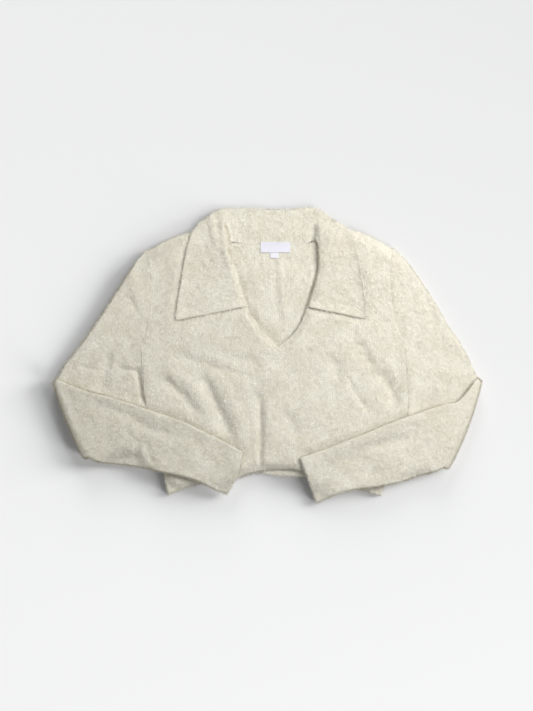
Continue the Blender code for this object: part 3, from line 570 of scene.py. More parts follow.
def armHeights(cut):
    top = np.zeros(planX.shape)
    relief = foldsHeight(sleeveLook["upperFolds"], planX, planY) + swells(planX, planY)
    relief = np.clip(relief, 0, sleeveLook["ridgeLimit"]) + sleeveLook["fuzz"]
    stations = cut["upper"] + (cut["elbow"],)
    for first, second in zip(stations, stations[1:]):
        mask = insideOf(closedOutline((first, second), cut["side"]))
        top[mask] = max(first[4], second[4]) + relief[mask]
    return top


def sectionShares(width, height, underRound):
    turns = np.linspace(0, math.pi / 2, sleeveLook["edgePoints"], endpoint=False)
    over = height / 2 * (1 - np.cos(turns))
    under = underRound * (1 - np.cos(turns))
    flat = np.linspace(height / 2, width - underRound, sleeveLook["middlePoints"])
    return np.concatenate([over, flat, width - under[::-1]]) / width


def halfHeights(width, height, share, underRound):
    overDepth = 1 - share * width / (height / 2)
    underDepth = 1 - (1 - share) * width / underRound
    depth = np.clip(np.maximum(overDepth, underDepth), 0, 1)
    return height / 2 * np.sqrt(1 - depth**2)


def sleeveRing(cut, station, turn, inner):
    angle, rest, folds, joint, snug = turn
    side = cut["side"]
    height = station[4]
    wall = cloth["wall"]
    station = napRoom(station, 1, 1 - snug)
    over = station[0:2]
    under = station[2:4]
    width = np.linalg.norm(under - over)
    underRound = height / 2 + (cut["snugRound"] - height / 2) * snug
    share = sectionShares(width, height, underRound)
    half = halfHeights(width, height, share, underRound)
    if inner:
        squareness = sleeveLook["hollowSquareness"]
        half = (height / 2 - wall) * (1 - np.abs(2 * share - 1) ** squareness)
        share = (wall + share * (width - 2 * wall)) / width
    line = sectionLine(station, side, share)
    middle = np.full(len(share), height / 2)
    high = middle
    if rest is not None:
        high = read(rest, line[:, 0], line[:, 1]) + height / 2
    outward = side * across(over, under)
    radius = (high - middle) / 2
    level = (high + middle) / 2 - radius * math.cos(angle)
    reach = radius * halfHeights(width, height, share, underRound) * 2 / height
    place = line + outward * (reach * math.sin(angle))[:, None]
    rise = half * math.cos(angle)
    inset = outward * (half * math.sin(angle))[:, None]
    near = np.column_stack([place - inset, level + rise])
    far = np.column_stack([place + inset, level - rise])
    top = near if angle == 0 else far
    if angle in (0, math.pi):
        x, y = top[:, 0], top[:, 1]
        room = height - 2 * wall - cloth["seamGap"]
        shift = foldsHeight(folds, x, y) + swells(x, y)
        fromEdge = np.minimum(share, 1 - share + snug) * width
        edgeFade = ease(fromEdge / sleeveLook["edgeFade"])
        shift = np.clip(shift, -room, sleeveLook["ridgeLimit"]) * edgeFade
        seamShift = (bodyLift(x, y) - cloth["air"]) * half / half.max()
        top[:, 2] += shift * (1 - joint) + seamShift * joint
        if not inner:
            top[:, 2] += crepe(x, y, sleeveLook["seed"]) * np.sqrt(edgeFade)
    if angle == 0:
        far[:, 2] = np.maximum(far[:, 2], wall if inner else 0.0)
    return np.vstack([near, far[-2:0:-1]])


def sleeveRows(cut, rest):  # each line across the tube from armhole to cuff, with its turn
    upper = spline(cut["upper"] + (cut["elbow"],), sleeveLook["upperStations"])
    forearm = spline((cut["elbow"],) + cut["forearm"], sleeveLook["forearmStations"])
    along = np.linalg.norm((upper - upper[0])[:, 0:4], axis=1) / math.sqrt(2)
    joints = 1 - ease(along / sleeveLook["seamReach"])
    snugEnd, looseStart = sleeveLook["snugReach"]
    snugs = 1 - ease((along - snugEnd) / (looseStart - snugEnd))
    seamX, seamY = sideSeam(cut, cut["upper"][0][2:4], seamPoints).T
    beside = np.interp(upper[:, 3], seamY, seamX) + cut["side"] * sleeveLook["snugGap"]
    upper[1:, 2] += (beside - upper[:, 2])[1:] * snugs[1:]
    rows = list(upper)
    # how far the arm has turned over the fold at the elbow, what it lies on, its folds, how
    # far it takes the form of the body, and how far its underarm edge is pressed against it
    turns = [(0, None, sleeveLook["upperFolds"], joint, snug)
             for joint, snug in zip(joints, snugs)]
    turns[-1] = (0, rest, sleeveLook["upperFolds"], 0.0, 0.0)
    for step in range(1, sleeveLook["elbowStations"]):
        rows.append(upper[-1])
        turns.append((math.pi * step / sleeveLook["elbowStations"], rest, (), 0.0, 0.0))
    rows.extend(forearm)
    turns += [(math.pi, rest, sleeveLook["forearmFolds"], 0.0, 0.0)] * len(forearm)
    return list(zip(rows, turns))


def sleeveTube(name, cut, rest):
    side = cut["side"]
    rows = sleeveRows(cut, rest)
    outer, inner = [np.array([sleeveRing(cut, row, turn, within) for row, turn in rows])
                    for within in (False, True)]
    flow = unit(np.gradient(outer, axis=0))
    cuff = [outer[-1] + (inner[-1] - outer[-1]) * share
            + flow[-1] * sleeveLook["cuffRound"] * math.sin(math.pi * share)
            for share in sleeveLook["cuffShares"]]
    rings = np.concatenate([outer, cuff, inner[::-1]])
    flows = np.concatenate([flow, np.repeat(flow[-1:], len(cuff), axis=0), -flow[::-1]])
    count, around = rings.shape[:2]
    numbers = np.arange(count * around).reshape(count, around)
    numbers = np.vstack([numbers, numbers[:1]])
    numbers = np.column_stack([numbers, numbers[:, :1]])
    faces = quads(numbers)
    if side < 0:
        faces = faces[:, ::-1]
    steps = np.linalg.norm(np.roll(rings, -1, axis=1) - rings, axis=2)
    wale = np.cumsum(steps, axis=1)
    return {"name": name, "points": rings.reshape(-1, 3), "faces": faces,
            "flow": flows.reshape(-1, 3), "wale": wale.ravel()}


# ---- what lies on what ----

frontHalves = bodyHalves(frontLook, bodyCut["frontHem"], None,
                         (bodyCut["rightV"], bodyCut["leftV"]))
backHalves = bodyHalves(backLook, bodyCut["backHem"], bodyCut["backNeckMiddle"],
                        (bodyCut["rightBackNeck"], bodyCut["leftBackNeck"]))
frontFlat, frontFaces = joinHalves(frontHalves, frontLook["lowRows"])
backFlat, backFaces = joinHalves(backHalves, backLook["lowRows"] + backLook["neckRow"])
frontMask = insideOf(frontFlat[rimOrder(frontFaces)])
backMask = insideOf(backFlat[rimOrder(backFaces)])

collarLines = spline(collarCut, collarLook["stations"])
collarShare = np.linspace(0, 1, collarLook["rows"])
collarPlan = (collarLines[:, 0:2]
              + collarShare[:, None, None] * (collarLines[:, 2:4] - collarLines[:, 0:2]))
collarOutline = np.vstack([collarPlan[0], collarPlan[-1][::-1]])
clothMask = frontMask | backMask
forearmMask = np.zeros(planX.shape, bool)
for cut in (rightSleeveCut, leftSleeveCut):
    forearmMask |= insideOf(closedOutline((cut["elbow"],) + cut["forearm"], cut["side"]))
    clothMask |= insideOf(closedOutline(cut["upper"] + (cut["elbow"],), cut["side"]))
pressed = soften(np.maximum(frontLook["underForearm"] * forearmMask,
                            frontLook["underCollar"] * insideOf(collarOutline)),
                 frontLook["pressedSoftness"])
neckOpening = soften((backMask & ~frontMask).astype(float), frontLook["neckSoftness"])
swellMap = ease(2 * soften(clothMask.astype(float), frontLook["edgeSoftness"]) - 1)
crown = 1 - ((planX - cloth["crownMiddle"]) / cloth["crownHalf"]) ** 2
air = cloth["air"] + cloth["crown"] * np.maximum(crown, 0)
(fromX, toX), (fromY, toY) = frontLook["neckChange"]
pressChange = ease((planX - fromX) / (toX - fromX)) * ease((planY - fromY) / (toY - fromY))
neckPress = (frontLook["neckPress"]
             + (frontLook["openNeckPress"] - frontLook["neckPress"]) * pressChange)
air = air * swellMap * (1 - pressed) * np.clip(1 - neckPress * neckOpening, 0, 1)
rightVLine = spline((bodyCut["vPoint"],) + bodyCut["rightV"], seamPoints)


def foldShare(x, y):  # none at the body's edges, and soon whole
    return ease(read(swellMap, x, y) * frontLook["foldStart"])


def bodyLift(x, y):  # how far the front stands off the back
    free = 1 - read(pressed, x, y)
    shift = (foldsHeight(frontLook["folds"], x, y) + swells(x, y)) * free
    return np.maximum(read(air, x, y) + shift * foldShare(x, y), 0)


def frontLow(x, y):
    return cloth["wall"] + cloth["seamGap"] + bodyLift(x, y)


def clearAbove(top):
    return top + cloth["seamGap"] * (top > 0)


frontTop = np.where(frontMask, frontLow(planX, planY) + cloth["wall"], 0)
bodyTop = np.maximum(frontTop, np.where(backMask, cloth["wall"], 0))
armTop = np.maximum(armHeights(rightSleeveCut), armHeights(leftSleeveCut))
forearmRest = spread(clearAbove(np.maximum(bodyTop, armTop)), sleeveLook["forearmReach"])
forearmRest = soften(bridge(forearmRest, sleeveLook["forearmSpan"]), sleeveLook["forearmSag"])
collarRest = soften(spread(clearAbove(bodyTop), collarLook["reach"]), collarLook["sag"])
print("layers mapped")

# ---- the cloth itself ----


def distanceTo(line, flat):  # the distance of each point from the nearest of the line's points
    nearest = np.full(len(flat), 1e9)
    for point in line:
        np.minimum(nearest, np.hypot(*(flat - point).T), out=nearest)
    return nearest


def atSeams(flat):  # along the armholes, and down the sides as far as the sleeves reach
    reach = frontLook["seamReach"]
    top = bodyCut["rightSide"][-1][1] + frontLook["sideRise"]
    upper = (flat[:, 1] > frontLook["underarm"]) & (flat[:, 1] < top)
    result = np.zeros(len(flat), bool)
    for cut in (rightSleeveCut, leftSleeveCut):
        side = sideSeam(cut, cut["upper"][0][2:4], seamPoints)
        result |= (distanceTo(side, flat) < reach + frontLook["sideSlack"]) & upper
        result |= distanceTo(armhole(cut, seamPoints), flat) < reach
    return result


neckSeam = np.vstack([spline((bodyCut["backNeckMiddle"],) + bodyCut[edge], seamPoints)
                      for edge in ("rightBackNeck", "leftBackNeck")])


def bodyShell(name, flat, faces, low, high, look, atSeam):
    inset = np.where(atSeam, frontLook["seamInset"], look["inset"])
    return shell(name, flat, faces, low, high, np.tile([0, -1, 0.0], (len(flat), 1)), flat[:, 0],
                 inset, cloth["napReach"] * ~atSeam)


def makeBack():
    x, y = backFlat.T
    high = cloth["wall"] + foldsHeight(backLook["folds"], x, y) + crepe(x, y, backLook["seed"])
    inner = np.clip(high, backLook["leastWall"], cloth["wall"] + backLook["mostRise"])
    open_ = 1 - read(soften(frontMask.astype(float), backLook["openSoftness"]), x, y)
    high = cloth["wall"] + (inner - cloth["wall"]) * ease(open_ * 2)
    top, bottom = backLook["swellTop"]
    opening = read(soften((backMask & ~frontMask).astype(float), backLook["swellEdge"]), x, y)
    lift = backLook["swell"] * ease(2 * opening - 1) * ease((top - y) / (top - bottom))
    atSeam = atSeams(backFlat) | (distanceTo(neckSeam, backFlat) < frontLook["seamReach"])
    return bodyShell("backKnit", backFlat, backFaces, lift, high + lift, backLook, atSeam)


def makeFront():
    x, y = frontFlat.T
    low = frontLow(x, y)
    away = distanceTo(rightVLine, frontFlat)
    thin = frontLook["thinEdge"]
    thin = thin + (1 - thin) * ease(away / frontLook["thinReach"])
    high = low + cloth["wall"] * thin + crepe(x, y, frontLook["seed"]) * foldShare(x, y)
    return bodyShell("frontKnit", frontFlat, frontFaces, low, high, frontLook,
                     atSeams(frontFlat))


def makeCollar():
    flat = collarPlan.reshape(-1, 2)
    x, y = flat.T
    rows = collarLook["rows"]
    roll, onBody, reach = collarLines[:, 4:7].T
    onBody = np.clip(onBody, 0, 1)
    line = collarLines[:, 2:4] - collarLines[:, 0:2]
    run = collarShare[:, None] * np.linalg.norm(line, axis=1)
    rise = ease(run / reach)
    fall = np.exp(-(np.maximum(run - collarLook["rollPeak"], 0) / collarLook["rollFall"]) ** 2)
    shift = (rise * fall * roll).ravel() + foldsHeight(collarLook["folds"], x, y)
    low = read(collarRest, x, y) * np.tile(onBody, rows) + np.maximum(shift, 0)
    wall = cloth["wall"] * (1 - (1 - collarLook["thinEdge"]) * (1 - rise) * onBody).ravel()
    outward = unit(np.repeat(line[None], rows, axis=0).reshape(-1, 2))
    outward *= (2 * np.tile(onBody, rows) - 1)[:, None]  # behind the neck the nap lies down
    steps = np.linalg.norm(np.diff(collarLines[:, 0:4], axis=0), axis=1) / math.sqrt(2)
    wale = np.tile(np.insert(np.cumsum(steps), 0, 0.0), rows)
    faces = quads(np.arange(len(flat)).reshape(collarPlan.shape[:2]))
    atSeam = np.arange(len(flat)) < len(collarLines)
    behind = atSeam & (np.tile(onBody, rows) < 1)
    inset = np.where(behind, collarLook["seamInset"], collarLook["inset"])
    inset = np.where(atSeam & ~behind, collarLook["neckInset"], inset)
    return shell("collarKnit", flat, faces, low, low + wall + crepe(x, y, collarLook["seed"]),
                 np.column_stack([outward, np.zeros(len(flat))]), wale, inset,
                 collarLook["pull"] * ~atSeam)


skins = [
    makeBack(),
    makeFront(),
    sleeveTube("rightSleeveKnit", rightSleeveCut, forearmRest),
    sleeveTube("leftSleeveKnit", leftSleeveCut, forearmRest),
    makeCollar(),
]
print("cloth shaped")

# ---- finishes ----

knitFinish = {
    "dark": (0.67, 0.635, 0.51), "light": (0.82, 0.79, 0.69),
    # painted shade: the next colour is darker and warmer, for the shade on steep faces (rims and
    # gap walls), and the number after it is how level a face may be and still get it
    "wall": (0.63, 0.56, 0.41), "paintedShadeFrom": 0.6,
    "mottle": (0.006, 3), "fibre": (0.0011, 2),  # size in metres, and detail
    "noiseRoughness": 0.6,
    "bump": 0.5, "bumpDepth": 0.0008,
    "roughness": 0.95, "specular": 0.2, "sheen": 0.25, "sheenRoughness": 0.6,
}


def setSockets(node, values):
    for socket, value in values.items():
        node.inputs[socket].default_value = value


def newMaterial(name, values):  # with its nodes and its shader
    material = bpy.data.materials.new(name)
    material.use_nodes = True
    tree = material.node_tree
    shader = tree.nodes["Principled BSDF"]
    setSockets(shader, values)
    return material, tree, shader


def addNoise(tree, coordinates, look):
    size, detail = look
    noise = tree.nodes.new("ShaderNodeTexNoise")
    setSockets(noise, {"Scale": 1 / size, "Detail": detail,
                       "Roughness": knitFinish["noiseRoughness"]})
    tree.links.new(coordinates.outputs["Object"], noise.inputs["Vector"])
    return noise


def addBump(tree, shader, height, strength, depth):
    bump = tree.nodes.new("ShaderNodeBump")
    setSockets(bump, {"Strength": strength, "Distance": depth})
    tree.links.new(height, bump.inputs["Height"])
    tree.links.new(bump.outputs["Normal"], shader.inputs["Normal"])


def knitMaterial():
    material, tree, shader = newMaterial("brushedKnit", {
        "Roughness": knitFinish["roughness"], "Specular IOR Level": knitFinish["specular"],
        "Sheen Weight": knitFinish["sheen"], "Sheen Roughness": knitFinish["sheenRoughness"],
    })
    coordinates = tree.nodes.new("ShaderNodeTexCoord")
    mottle = addNoise(tree, coordinates, knitFinish["mottle"])
    fibre = addNoise(tree, coordinates, knitFinish["fibre"])
    blend = tree.nodes.new("ShaderNodeMix")
    blend.data_type = "RGBA"
    setSockets(blend, {"A": (*knitFinish["dark"], 1), "B": (*knitFinish["light"], 1)})
    tree.links.new(mottle.outputs["Fac"], blend.inputs["Factor"])
    tree.links.new(blend.outputs["Result"], shader.inputs["Base Color"])
    height = tree.nodes.new("ShaderNodeMath")
    height.operation = "ADD"
    tree.links.new(mottle.outputs["Fac"], height.inputs[0])
    tree.links.new(fibre.outputs["Fac"], height.inputs[1])
    addBump(tree, shader, height.outputs["Value"], knitFinish["bump"], knitFinish["bumpDepth"])
    return material


knit = knitMaterial()
knitPaintedShade = newMaterial("knitPaintedShade", {  # painted shade: a darker, warmer colour on the steep faces, the rims and the walls of the gaps, for the shade and the warm bounced light there
    "Base Color": (*knitFinish["wall"], 1), "Roughness": knitFinish["roughness"]})[0]
clothCuts = {  # node, size in metres before sewing (width, length), area, how it lies, on what
    "backKnit": ("back", (0.44, 0.45), 0.166, "laid", ["floor"]),
    "frontKnit": ("front", (0.44, 0.45), 0.151, "laid", ["back"]),
    "rightSleeveKnit": ("right_sleeve", (0.33, 0.59), 0.118, "folded", ["floor", "front"]),
    "leftSleeveKnit": ("left_sleeve", (0.33, 0.58), 0.109, "folded", ["floor", "front"]),
    "collarKnit": ("collar", (0.46, 0.105), 0.037, "folded", ["front", "back"]),
}
for skin in skins:
    corners = skin["points"][skin["faces"]]
    facing = np.cross(corners[:, 2] - corners[:, 0], corners[:, 3] - corners[:, 1])
    # painted shade: faces steeper than that take the darker, warmer second material
    paintedShadeFaces = np.abs(unit(facing)[:, 2]) < knitFinish["paintedShadeFrom"]
    made = makeMesh(skin["name"], skin["points"], skin["faces"], [knit, knitPaintedShade], paintedShadeFaces)
    node, flatSize, area, held, restsOn = clothCuts[skin["name"]]
    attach(made, "root")
    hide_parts(node)
    print(skin["name"], len(skin["faces"]) * 2, "triangles",
          round(np.linalg.norm(facing, axis=1).sum() / 4 * mm**2, 4), "square metres")
print("cloth made")

# ---- labels, both bare ----

neckLabel = {
    "middle": (14.0, 178.0), "size": (49.0, 17.6), "thickness": 0.6,
    "lap": 7.0, "colour": (0.74, 0.73, 0.80),
}
tapeLook = {
    "columns": 41, "rows": 21, "inset": 0.25,
    "weave": 700, "unevenness": 0.6, "bump": 0.3, "bumpDepth": 0.0002, "roughness": 0.55,
}


def tapeMaterial(name, colour):
    material, tree, shader = newMaterial(name, {
        "Base Color": (*colour, 1), "Roughness": tapeLook["roughness"]})
    coordinates = tree.nodes.new("ShaderNodeTexCoord")
    weave = tree.nodes.new("ShaderNodeTexWave")
    weave.bands_direction = "DIAGONAL"
    setSockets(weave, {"Scale": tapeLook["weave"], "Distortion": tapeLook["unevenness"]})
    tree.links.new(coordinates.outputs["Object"], weave.inputs["Vector"])
    addBump(tree, shader, weave.outputs["Fac"], tapeLook["bump"], tapeLook["bumpDepth"])
    return material


def tape(name, look, foot, top, lap, node):  # it lies at the height top, then slopes to foot
    columns, rows = tapeLook["columns"], tapeLook["rows"]
    x = np.linspace(-0.5, 0.5, columns) * look["size"][0] + look["middle"][0]
    y = np.linspace(-0.5, 0.5, rows) * look["size"][1] + look["middle"][1]
    gx, gy = np.meshgrid(x, y)
    flat = np.column_stack([gx.ravel(), gy.ravel()])
    share = ease((y[-1] - lap - flat[:, 1]) / (look["size"][1] - lap))
    low = top + (foot - top) * share
    faces = quads(np.arange(len(flat)).reshape(rows, columns))
    made = shell(name, flat, faces, low, low + look["thickness"],
                 np.zeros((len(flat), 3)), flat[:, 0], tapeLook["inset"])
    piece = makeMesh(name, made["points"], made["faces"], [tapeMaterial(name, look["colour"])])
    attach(piece, "root")
    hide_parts(node)
    return made


labelFoot = sizeTab["lift"] + cloth["seamGap"] + sizeTab["thickness"]
tapes = [
    tape("neckLabelTape", neckLabel, labelFoot, sizeTab["lift"], neckLabel["lap"], "neck_label"),
    tape("sizeTabTape", sizeTab, sizeTab["lift"], sizeTab["lift"], 0.0, "size_tab"),
]
print("labels made")

# ---- the row of stitches that links the collar to the back ----

linking = {
    "from": (-55.0, 184.4), "to": (70.0, 184.4),
    "spacing": 2.5, "size": (2.4, 2.2, 1.4), "lift": 3.4, "unevenness": 0.2, "seed": 7,
    "around": 8, "rises": (-80, -40, 0, 40, 80),  # degrees
    "colour": (0.93, 0.90, 0.82), "roughness": 0.8,
}


def makeLinking():
    rng = np.random.default_rng(linking["seed"])
    around = linking["around"]
    start, end = np.array(linking["from"]), np.array(linking["to"])
    count = int(np.linalg.norm(end - start) / linking["spacing"])
    turns = np.linspace(0, 2 * math.pi, around, endpoint=False)
    rings = [(math.cos(rise) * np.cos(turns), math.cos(rise) * np.sin(turns),
              np.full(around, math.sin(rise))) for rise in np.radians(linking["rises"])]
    bead = np.array(rings).transpose(0, 2, 1).reshape(-1, 3) * np.array(linking["size"]) / 2
    numbers = np.arange(len(bead)).reshape(-1, around)
    numbers = np.column_stack([numbers, numbers[:, :1]])
    beadFaces = quads(numbers)
    points, faces = [], []
    for number in range(count):
        place = start + (end - start) * (number + 0.5) / count
        place = place + rng.normal(0, linking["unevenness"], 2)
        points.append(bead + [place[0], place[1], linking["lift"]])
        faces.append(beadFaces + number * len(bead))
    yarn = newMaterial("linkingYarn", {
        "Base Color": (*linking["colour"], 1), "Roughness": linking["roughness"]})[0]
    piece = makeMesh("linkingStitches", np.vstack(points), np.vstack(faces), [yarn])
    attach(piece, "root")


makeLinking()

# ---- nap: fibres brushed up all over the outside ----

napLook = {
    "perSquare": 0.80,       # fibres on a square millimetre
    "rimShare": 1.6, "rimFrom": 0.75,  # how much thicker it grows on the edges
    "length": 4.4, "lengthSpread": 0.4,
    "width": 0.36, "bendWidth": 0.8,   # and its share at the bend
    "lift": 42.0, "rimLift": 58.0, "tipLift": 4.0, "rimTipLift": 34.0,  # degrees
    "liftSpread": (0.7, 1.25),
    "tuft": 2.6, "tuftPull": 0.8,
    "waleWidth": 3.8, "waleLean": 1.8,
    "wander": 0.45, "wanderSizes": (13, 4.5), "stray": 0.6,
    "sunk": 0.4, "edgeFrom": 0.86, "lowest": 0.05,
    "most": 62000,           # fibres in one piece
    "seed": 100, "seedStep": 10,
    # none grows under cloth within skyRoom, or from a steep wall with another within seamRoom
    "skyRoom": 60, "seamRoom": 3.0, "start": 0.15, "leastUp": -0.35, "steepFrom": 0.7,
    # the last of these tints is painted shade for the fibres on the edges
    "tints": ((0.99, 0.975, 0.91), (0.87, 0.84, 0.755), (0.75, 0.705, 0.59), (0.64, 0.61, 0.52)),
    "tintMiddle": 1.5, "tintSpread": 0.5, "tintSize": 23, "tuftTint": 1.6,
    "paintedEdgeShade": (0.1, 0.9),  # the last tint is painted shade, darker, for the fibres on the edges, more so as they turn down
    "roughness": 0.9, "specular": 0.2, "sheen": 0.15,
}
napTints = [newMaterial(name, {
    "Base Color": (*colour, 1), "Roughness": napLook["roughness"],
    "Specular IOR Level": napLook["specular"], "Sheen Weight": napLook["sheen"],
})[0] for name, colour in zip(("napPale", "napMid", "napWarm", "napPaintedShade"), napLook["tints"])]


def allTriangles(skin):
    faces = skin["faces"]
    return np.vstack([faces[:, [0, 1, 2]], faces[:, [0, 2, 3]]])


def clothTree():
    layers = skins + tapes
    points = np.vstack([layer["points"] for layer in layers])
    starts = np.cumsum([0] + [len(layer["points"]) for layer in layers])
    triangles = np.vstack([allTriangles(layer) + start for layer, start in zip(layers, starts)])
    return BVHTree.FromPolygons(points.tolist(), triangles.tolist())


def openTriangles(tree, centres, normals):  # those with nothing above them
    up = Vector((0, 0, 1))
    opened = np.zeros(len(centres), bool)
    starts = centres + normals * napLook["start"]
    for place in np.flatnonzero(normals[:, 2] > napLook["leastUp"]):
        hit = tree.ray_cast(Vector(starts[place]), up, napLook["skyRoom"])
        opened[place] = hit[0] is None
    for place in np.flatnonzero(opened & (normals[:, 2] < napLook["steepFrom"])):
        opened[place] = tree.ray_cast(Vector(starts[place]), Vector(normals[place]),
                                      napLook["seamRoom"])[0] is None
    return opened


def plantFibres(tree, skin, rng):  # place, normal, the way it lies and its row for each root
    points = skin["points"]
    triangles = allTriangles(skin)
    corners = points[triangles]
    facing = np.cross(corners[:, 1] - corners[:, 0], corners[:, 2] - corners[:, 0])
    pointNormals = np.zeros(points.shape)
    for corner in range(3):
        np.add.at(pointNormals, triangles[:, corner], facing)
    pointNormals = unit(pointNormals)
    area = np.linalg.norm(facing, axis=1) / 2
    normals = unit(facing)
    opened = openTriangles(tree, corners.mean(axis=1), normals)
    rim = ease((napLook["rimFrom"] - normals[:, 2]) * 2)
    weight = area * opened * (1 + (napLook["rimShare"] - 1) * rim)
    count = int(weight.sum() * napLook["perSquare"])
    chosen = np.searchsorted(np.cumsum(weight) / weight.sum(), rng.random(count))
    a, b = rng.random((2, count, 1))
    flip = a + b > 1
    a, b = np.where(flip, 1 - a, a), np.where(flip, 1 - b, b)
    weights = np.stack([1 - a - b, a, b], axis=1)
    picked = triangles[chosen]
    root = (points[picked] * weights).sum(axis=1)
    normal = unit((pointNormals[picked] * weights).sum(axis=1))
    flow = (skin["flow"][picked] * weights).sum(axis=1)
    wale = (skin["wale"][picked] * weights[..., 0]).sum(axis=1) / napLook["waleWidth"]
    print(skin["name"], "bears", count, "fibres on",
          round((area * opened).sum() * mm**2, 4), "square metres")
    return root, normal, flow, wale


def layFibres(planted, tuft, edge, seed, rng):  # the five points of each
    root, normal, flow, wale = planted
    cell, key = tuft
    size = (len(root), 1)
    centre = np.stack([cell[:, axis] + scatter(cell[:, 0], key, axis + 1)
                       for axis in range(3)], axis=1) * napLook["tuft"]
    pull = (centre - root) / napLook["tuft"] * napLook["tuftPull"]
    stray = rng.normal(0, napLook["stray"], root.shape)
    x, y = root[:, 0], root[:, 1]
    broad, narrow = napLook["wanderSizes"]
    turn = napLook["wander"] * (grain(x, y, broad, seed + 3) + grain(x, y, narrow, seed + 5))
    side = np.cross(normal, flow)
    rows = side * ((np.round(wale) - wale) * napLook["waleLean"])[:, None]
    lie = flow * np.cos(turn)[:, None] + side * np.sin(turn)[:, None] + pull + rows + stray
    lie = unit(lie - normal * (lie * normal).sum(axis=1, keepdims=True))
    lift = np.radians(napLook["lift"] + edge * (napLook["rimLift"] - napLook["lift"]))
    tipLift = napLook["tipLift"]
    tipLift = np.radians(tipLift + edge * (napLook["rimTipLift"] - tipLift))
    lift = lift * rng.uniform(*napLook["liftSpread"], size)
    spreadOut = 1 + napLook["lengthSpread"] * rng.uniform(-1, 1, size)
    half = napLook["length"] * spreadOut / 2
    start = root - normal * napLook["sunk"]
    bend = start + half * (lie * np.cos(lift) + normal * np.sin(lift))
    tip = bend + half * (lie * np.cos(tipLift) + normal * np.sin(tipLift))
    width = unit(np.cross(normal, lie)) * napLook["width"] / 2
    narrowed = width * napLook["bendWidth"]
    strands = np.stack([start - width, start + width, bend - narrowed, bend + narrowed, tip],
                       axis=1)
    strands[..., 2] = np.maximum(strands[..., 2], napLook["lowest"])
    return strands


def tintFibres(root, tuft, edge, seed, rng):  # the number of the tint of each
    cell, key = tuft
    broad = grain(root[:, 0], root[:, 1], napLook["tintSize"], seed + 7)
    tint = (napLook["tintMiddle"] + napLook["tintSpread"] * broad
            + rng.normal(0, napLook["tintSpread"], len(root))
            + napLook["tuftTint"] * (scatter(cell[:, 0], key, seed + 9) - 0.5))
    paintedEdgeShade = len(napTints) - 1
    tint = np.clip(np.floor(tint), 0, paintedEdgeShade - 1)
    # painted shade: fibres on the edges, more so where they turn down, take the darkest tint
    tint[edge[:, 0] > rng.uniform(*napLook["paintedEdgeShade"], len(root))] = paintedEdgeShade
    return tint


def growNap(tree, name, skin, seed):
    rng = np.random.default_rng(seed)
    planted = plantFibres(tree, skin, rng)
    root, normal = planted[0:2]
    cell = np.floor(root / napLook["tuft"]).astype(np.int64)
    tuft = (cell, cell[:, 1] * 977 + cell[:, 2] * 131071)
    edge = ease((napLook["edgeFrom"] - normal[:, 2]) * 2)[:, None]
    strands = layFibres(planted, tuft, edge, seed, rng)
    tint = tintFibres(root, tuft, edge, seed, rng)
    count = max(1, math.ceil(len(root) / napLook["most"]))
    for number, part in enumerate(np.array_split(np.argsort(root[:, 0]), count)):
        first = np.arange(len(part))[:, None] * strands.shape[1]
        faces = np.stack([first + [0, 1, 3], first + [0, 3, 2], first + [2, 3, 4]],
                         axis=1).reshape(-1, 3)
        piece = makeMesh(f"{name}{number + 1}", strands[part].reshape(-1, 3), faces,
                         napTints, np.repeat(tint[part], 3))
        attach(piece, "root")


napTree = clothTree()
for number, skin in enumerate(skins):
    name = skin["name"].replace("Knit", "Nap")
    growNap(napTree, name, skin, napLook["seed"] + napLook["seedStep"] * number)
print("nap grown")

# ---- floor, light and camera (metres) ----

floorLook = {
    "half": 6.0, "drop": 0.0004,
    "dim": 0.60, "bright": 0.98,      # it pales away from the key light, which evens it out
    "middle": 0.803, "slope": (0.209, 0.130),
    "roughness": 0.9, "specular": 0.1,
}
lightRig = {
    "lamps": {  # bearing and height (degrees), distance, size, watts, what it lights
        "keyLight": (40.0, 49.0, 1.7, 1.25, 30.0, "cloth"),
        "skyLight": (120.0, 80.0, 4.0, 3.6, 26.0, "cloth"),
        "floorKey": (40.0, 28.0, 6.0, 4.0, 156.0, "floor"),
        "sideLight": (15.0, 15.0, 6.0, 2.5, 484.0, "floor"),
        "topLight": (90.0, 15.0, 6.0, 2.5, 204.0, "floor"),
        "lowLight": (-35.0, 15.0, 6.0, 2.5, 319.0, "floor"),
    },
    "world": (0.97, 0.985, 1.0), "worldStrength": 0.21,
}
cameraLook = {
    "centre": (-0.0013, -0.0002), "height": 4.0, "sensor": 36.0,
    "pixel": 0.00165, "imageHigh": 711, "sharpAt": 0.010, "clipEnd": 50,
}


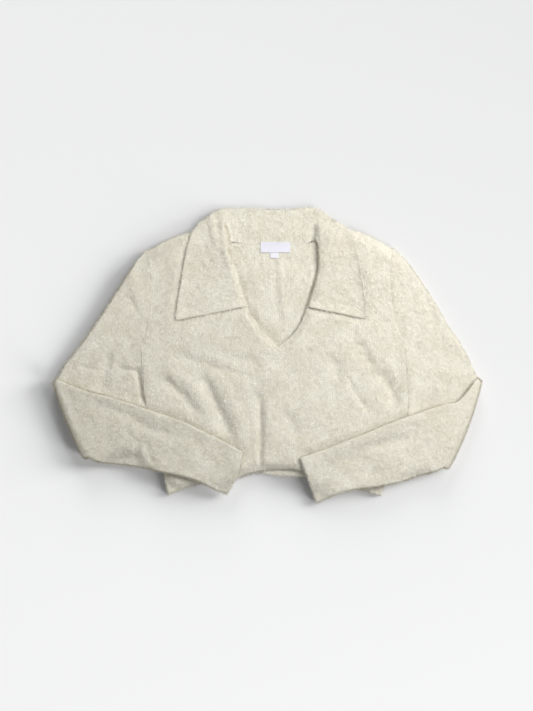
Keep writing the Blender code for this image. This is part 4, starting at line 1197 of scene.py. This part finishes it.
def makeFloor():
    half = floorLook["half"]
    mesh = bpy.data.meshes.new("floor")
    corners = [(-half, -half, 0), (half, -half, 0), (half, half, 0), (-half, half, 0)]
    mesh.from_pydata(corners, [], [range(len(corners))])
    floor = bpy.data.objects.new("floor", mesh)
    floor.location.z = -floorLook["drop"]
    scene.collection.objects.link(floor)
    dim, bright, middle = floorLook["dim"], floorLook["bright"], floorLook["middle"]
    material, tree, shader = newMaterial("floorPaper", {
        "Roughness": floorLook["roughness"], "Specular IOR Level": floorLook["specular"]})
    coordinates = tree.nodes.new("ShaderNodeTexCoord")
    along = tree.nodes.new("ShaderNodeVectorMath")
    along.operation = "DOT_PRODUCT"
    along.inputs[1].default_value = (*floorLook["slope"], 0)
    fade = tree.nodes.new("ShaderNodeMapRange")
    setSockets(fade, {"From Min": middle - bright, "From Max": middle - dim})
    blend = tree.nodes.new("ShaderNodeMix")
    blend.data_type = "RGBA"
    setSockets(blend, {"A": (bright, bright, bright, 1), "B": (dim, dim, dim, 1)})
    tree.links.new(coordinates.outputs["Object"], along.inputs[0])
    tree.links.new(along.outputs["Value"], fade.inputs["Value"])
    tree.links.new(fade.outputs["Result"], blend.inputs["Factor"])
    tree.links.new(blend.outputs["Result"], shader.inputs["Base Color"])
    mesh.materials.append(material)
    return floor


def makeLights(floor):
    lit = {name: bpy.data.collections.new(name + "Lit") for name in ("cloth", "floor")}
    for piece in scene.collection.objects:
        if piece.type == "MESH":
            lit["floor" if piece == floor else "cloth"].objects.link(piece)
    for name, (bearing, height, distance, size, watts, target) in lightRig["lamps"].items():
        turn, rise = math.radians(bearing), math.radians(height)
        lamp = bpy.data.lights.new(name, "AREA")
        lamp.shape = "DISK"
        lamp.size = size
        lamp.energy = watts
        light = bpy.data.objects.new(name, lamp)
        light.location = distance * Vector((
            math.cos(rise) * math.cos(turn), math.cos(rise) * math.sin(turn), math.sin(rise)))
        light.rotation_euler = (-light.location).to_track_quat("-Z", "Y").to_euler()
        scene.collection.objects.link(light)
        light.light_linking.receiver_collection = lit[target]
    world = bpy.data.worlds.new("studio")
    world.use_nodes = True
    background = world.node_tree.nodes["Background"]
    setSockets(background, {"Color": (*lightRig["world"], 1),
                            "Strength": lightRig["worldStrength"]})
    scene.world = world
    scene.view_settings.view_transform = "Standard"


def makeCamera():
    lens = bpy.data.cameras.new("camera")
    lens.sensor_width = cameraLook["sensor"]
    viewHigh = cameraLook["pixel"] * cameraLook["imageHigh"]
    distance = cameraLook["height"] - cameraLook["sharpAt"]
    lens.lens = cameraLook["sensor"] * distance / viewHigh
    lens.clip_end = cameraLook["clipEnd"]
    camera = bpy.data.objects.new("camera", lens)
    camera.location = (*cameraLook["centre"], cameraLook["height"])
    scene.collection.objects.link(camera)
    scene.camera = camera


makeLights(makeFloor())
makeCamera()
print("stage set")
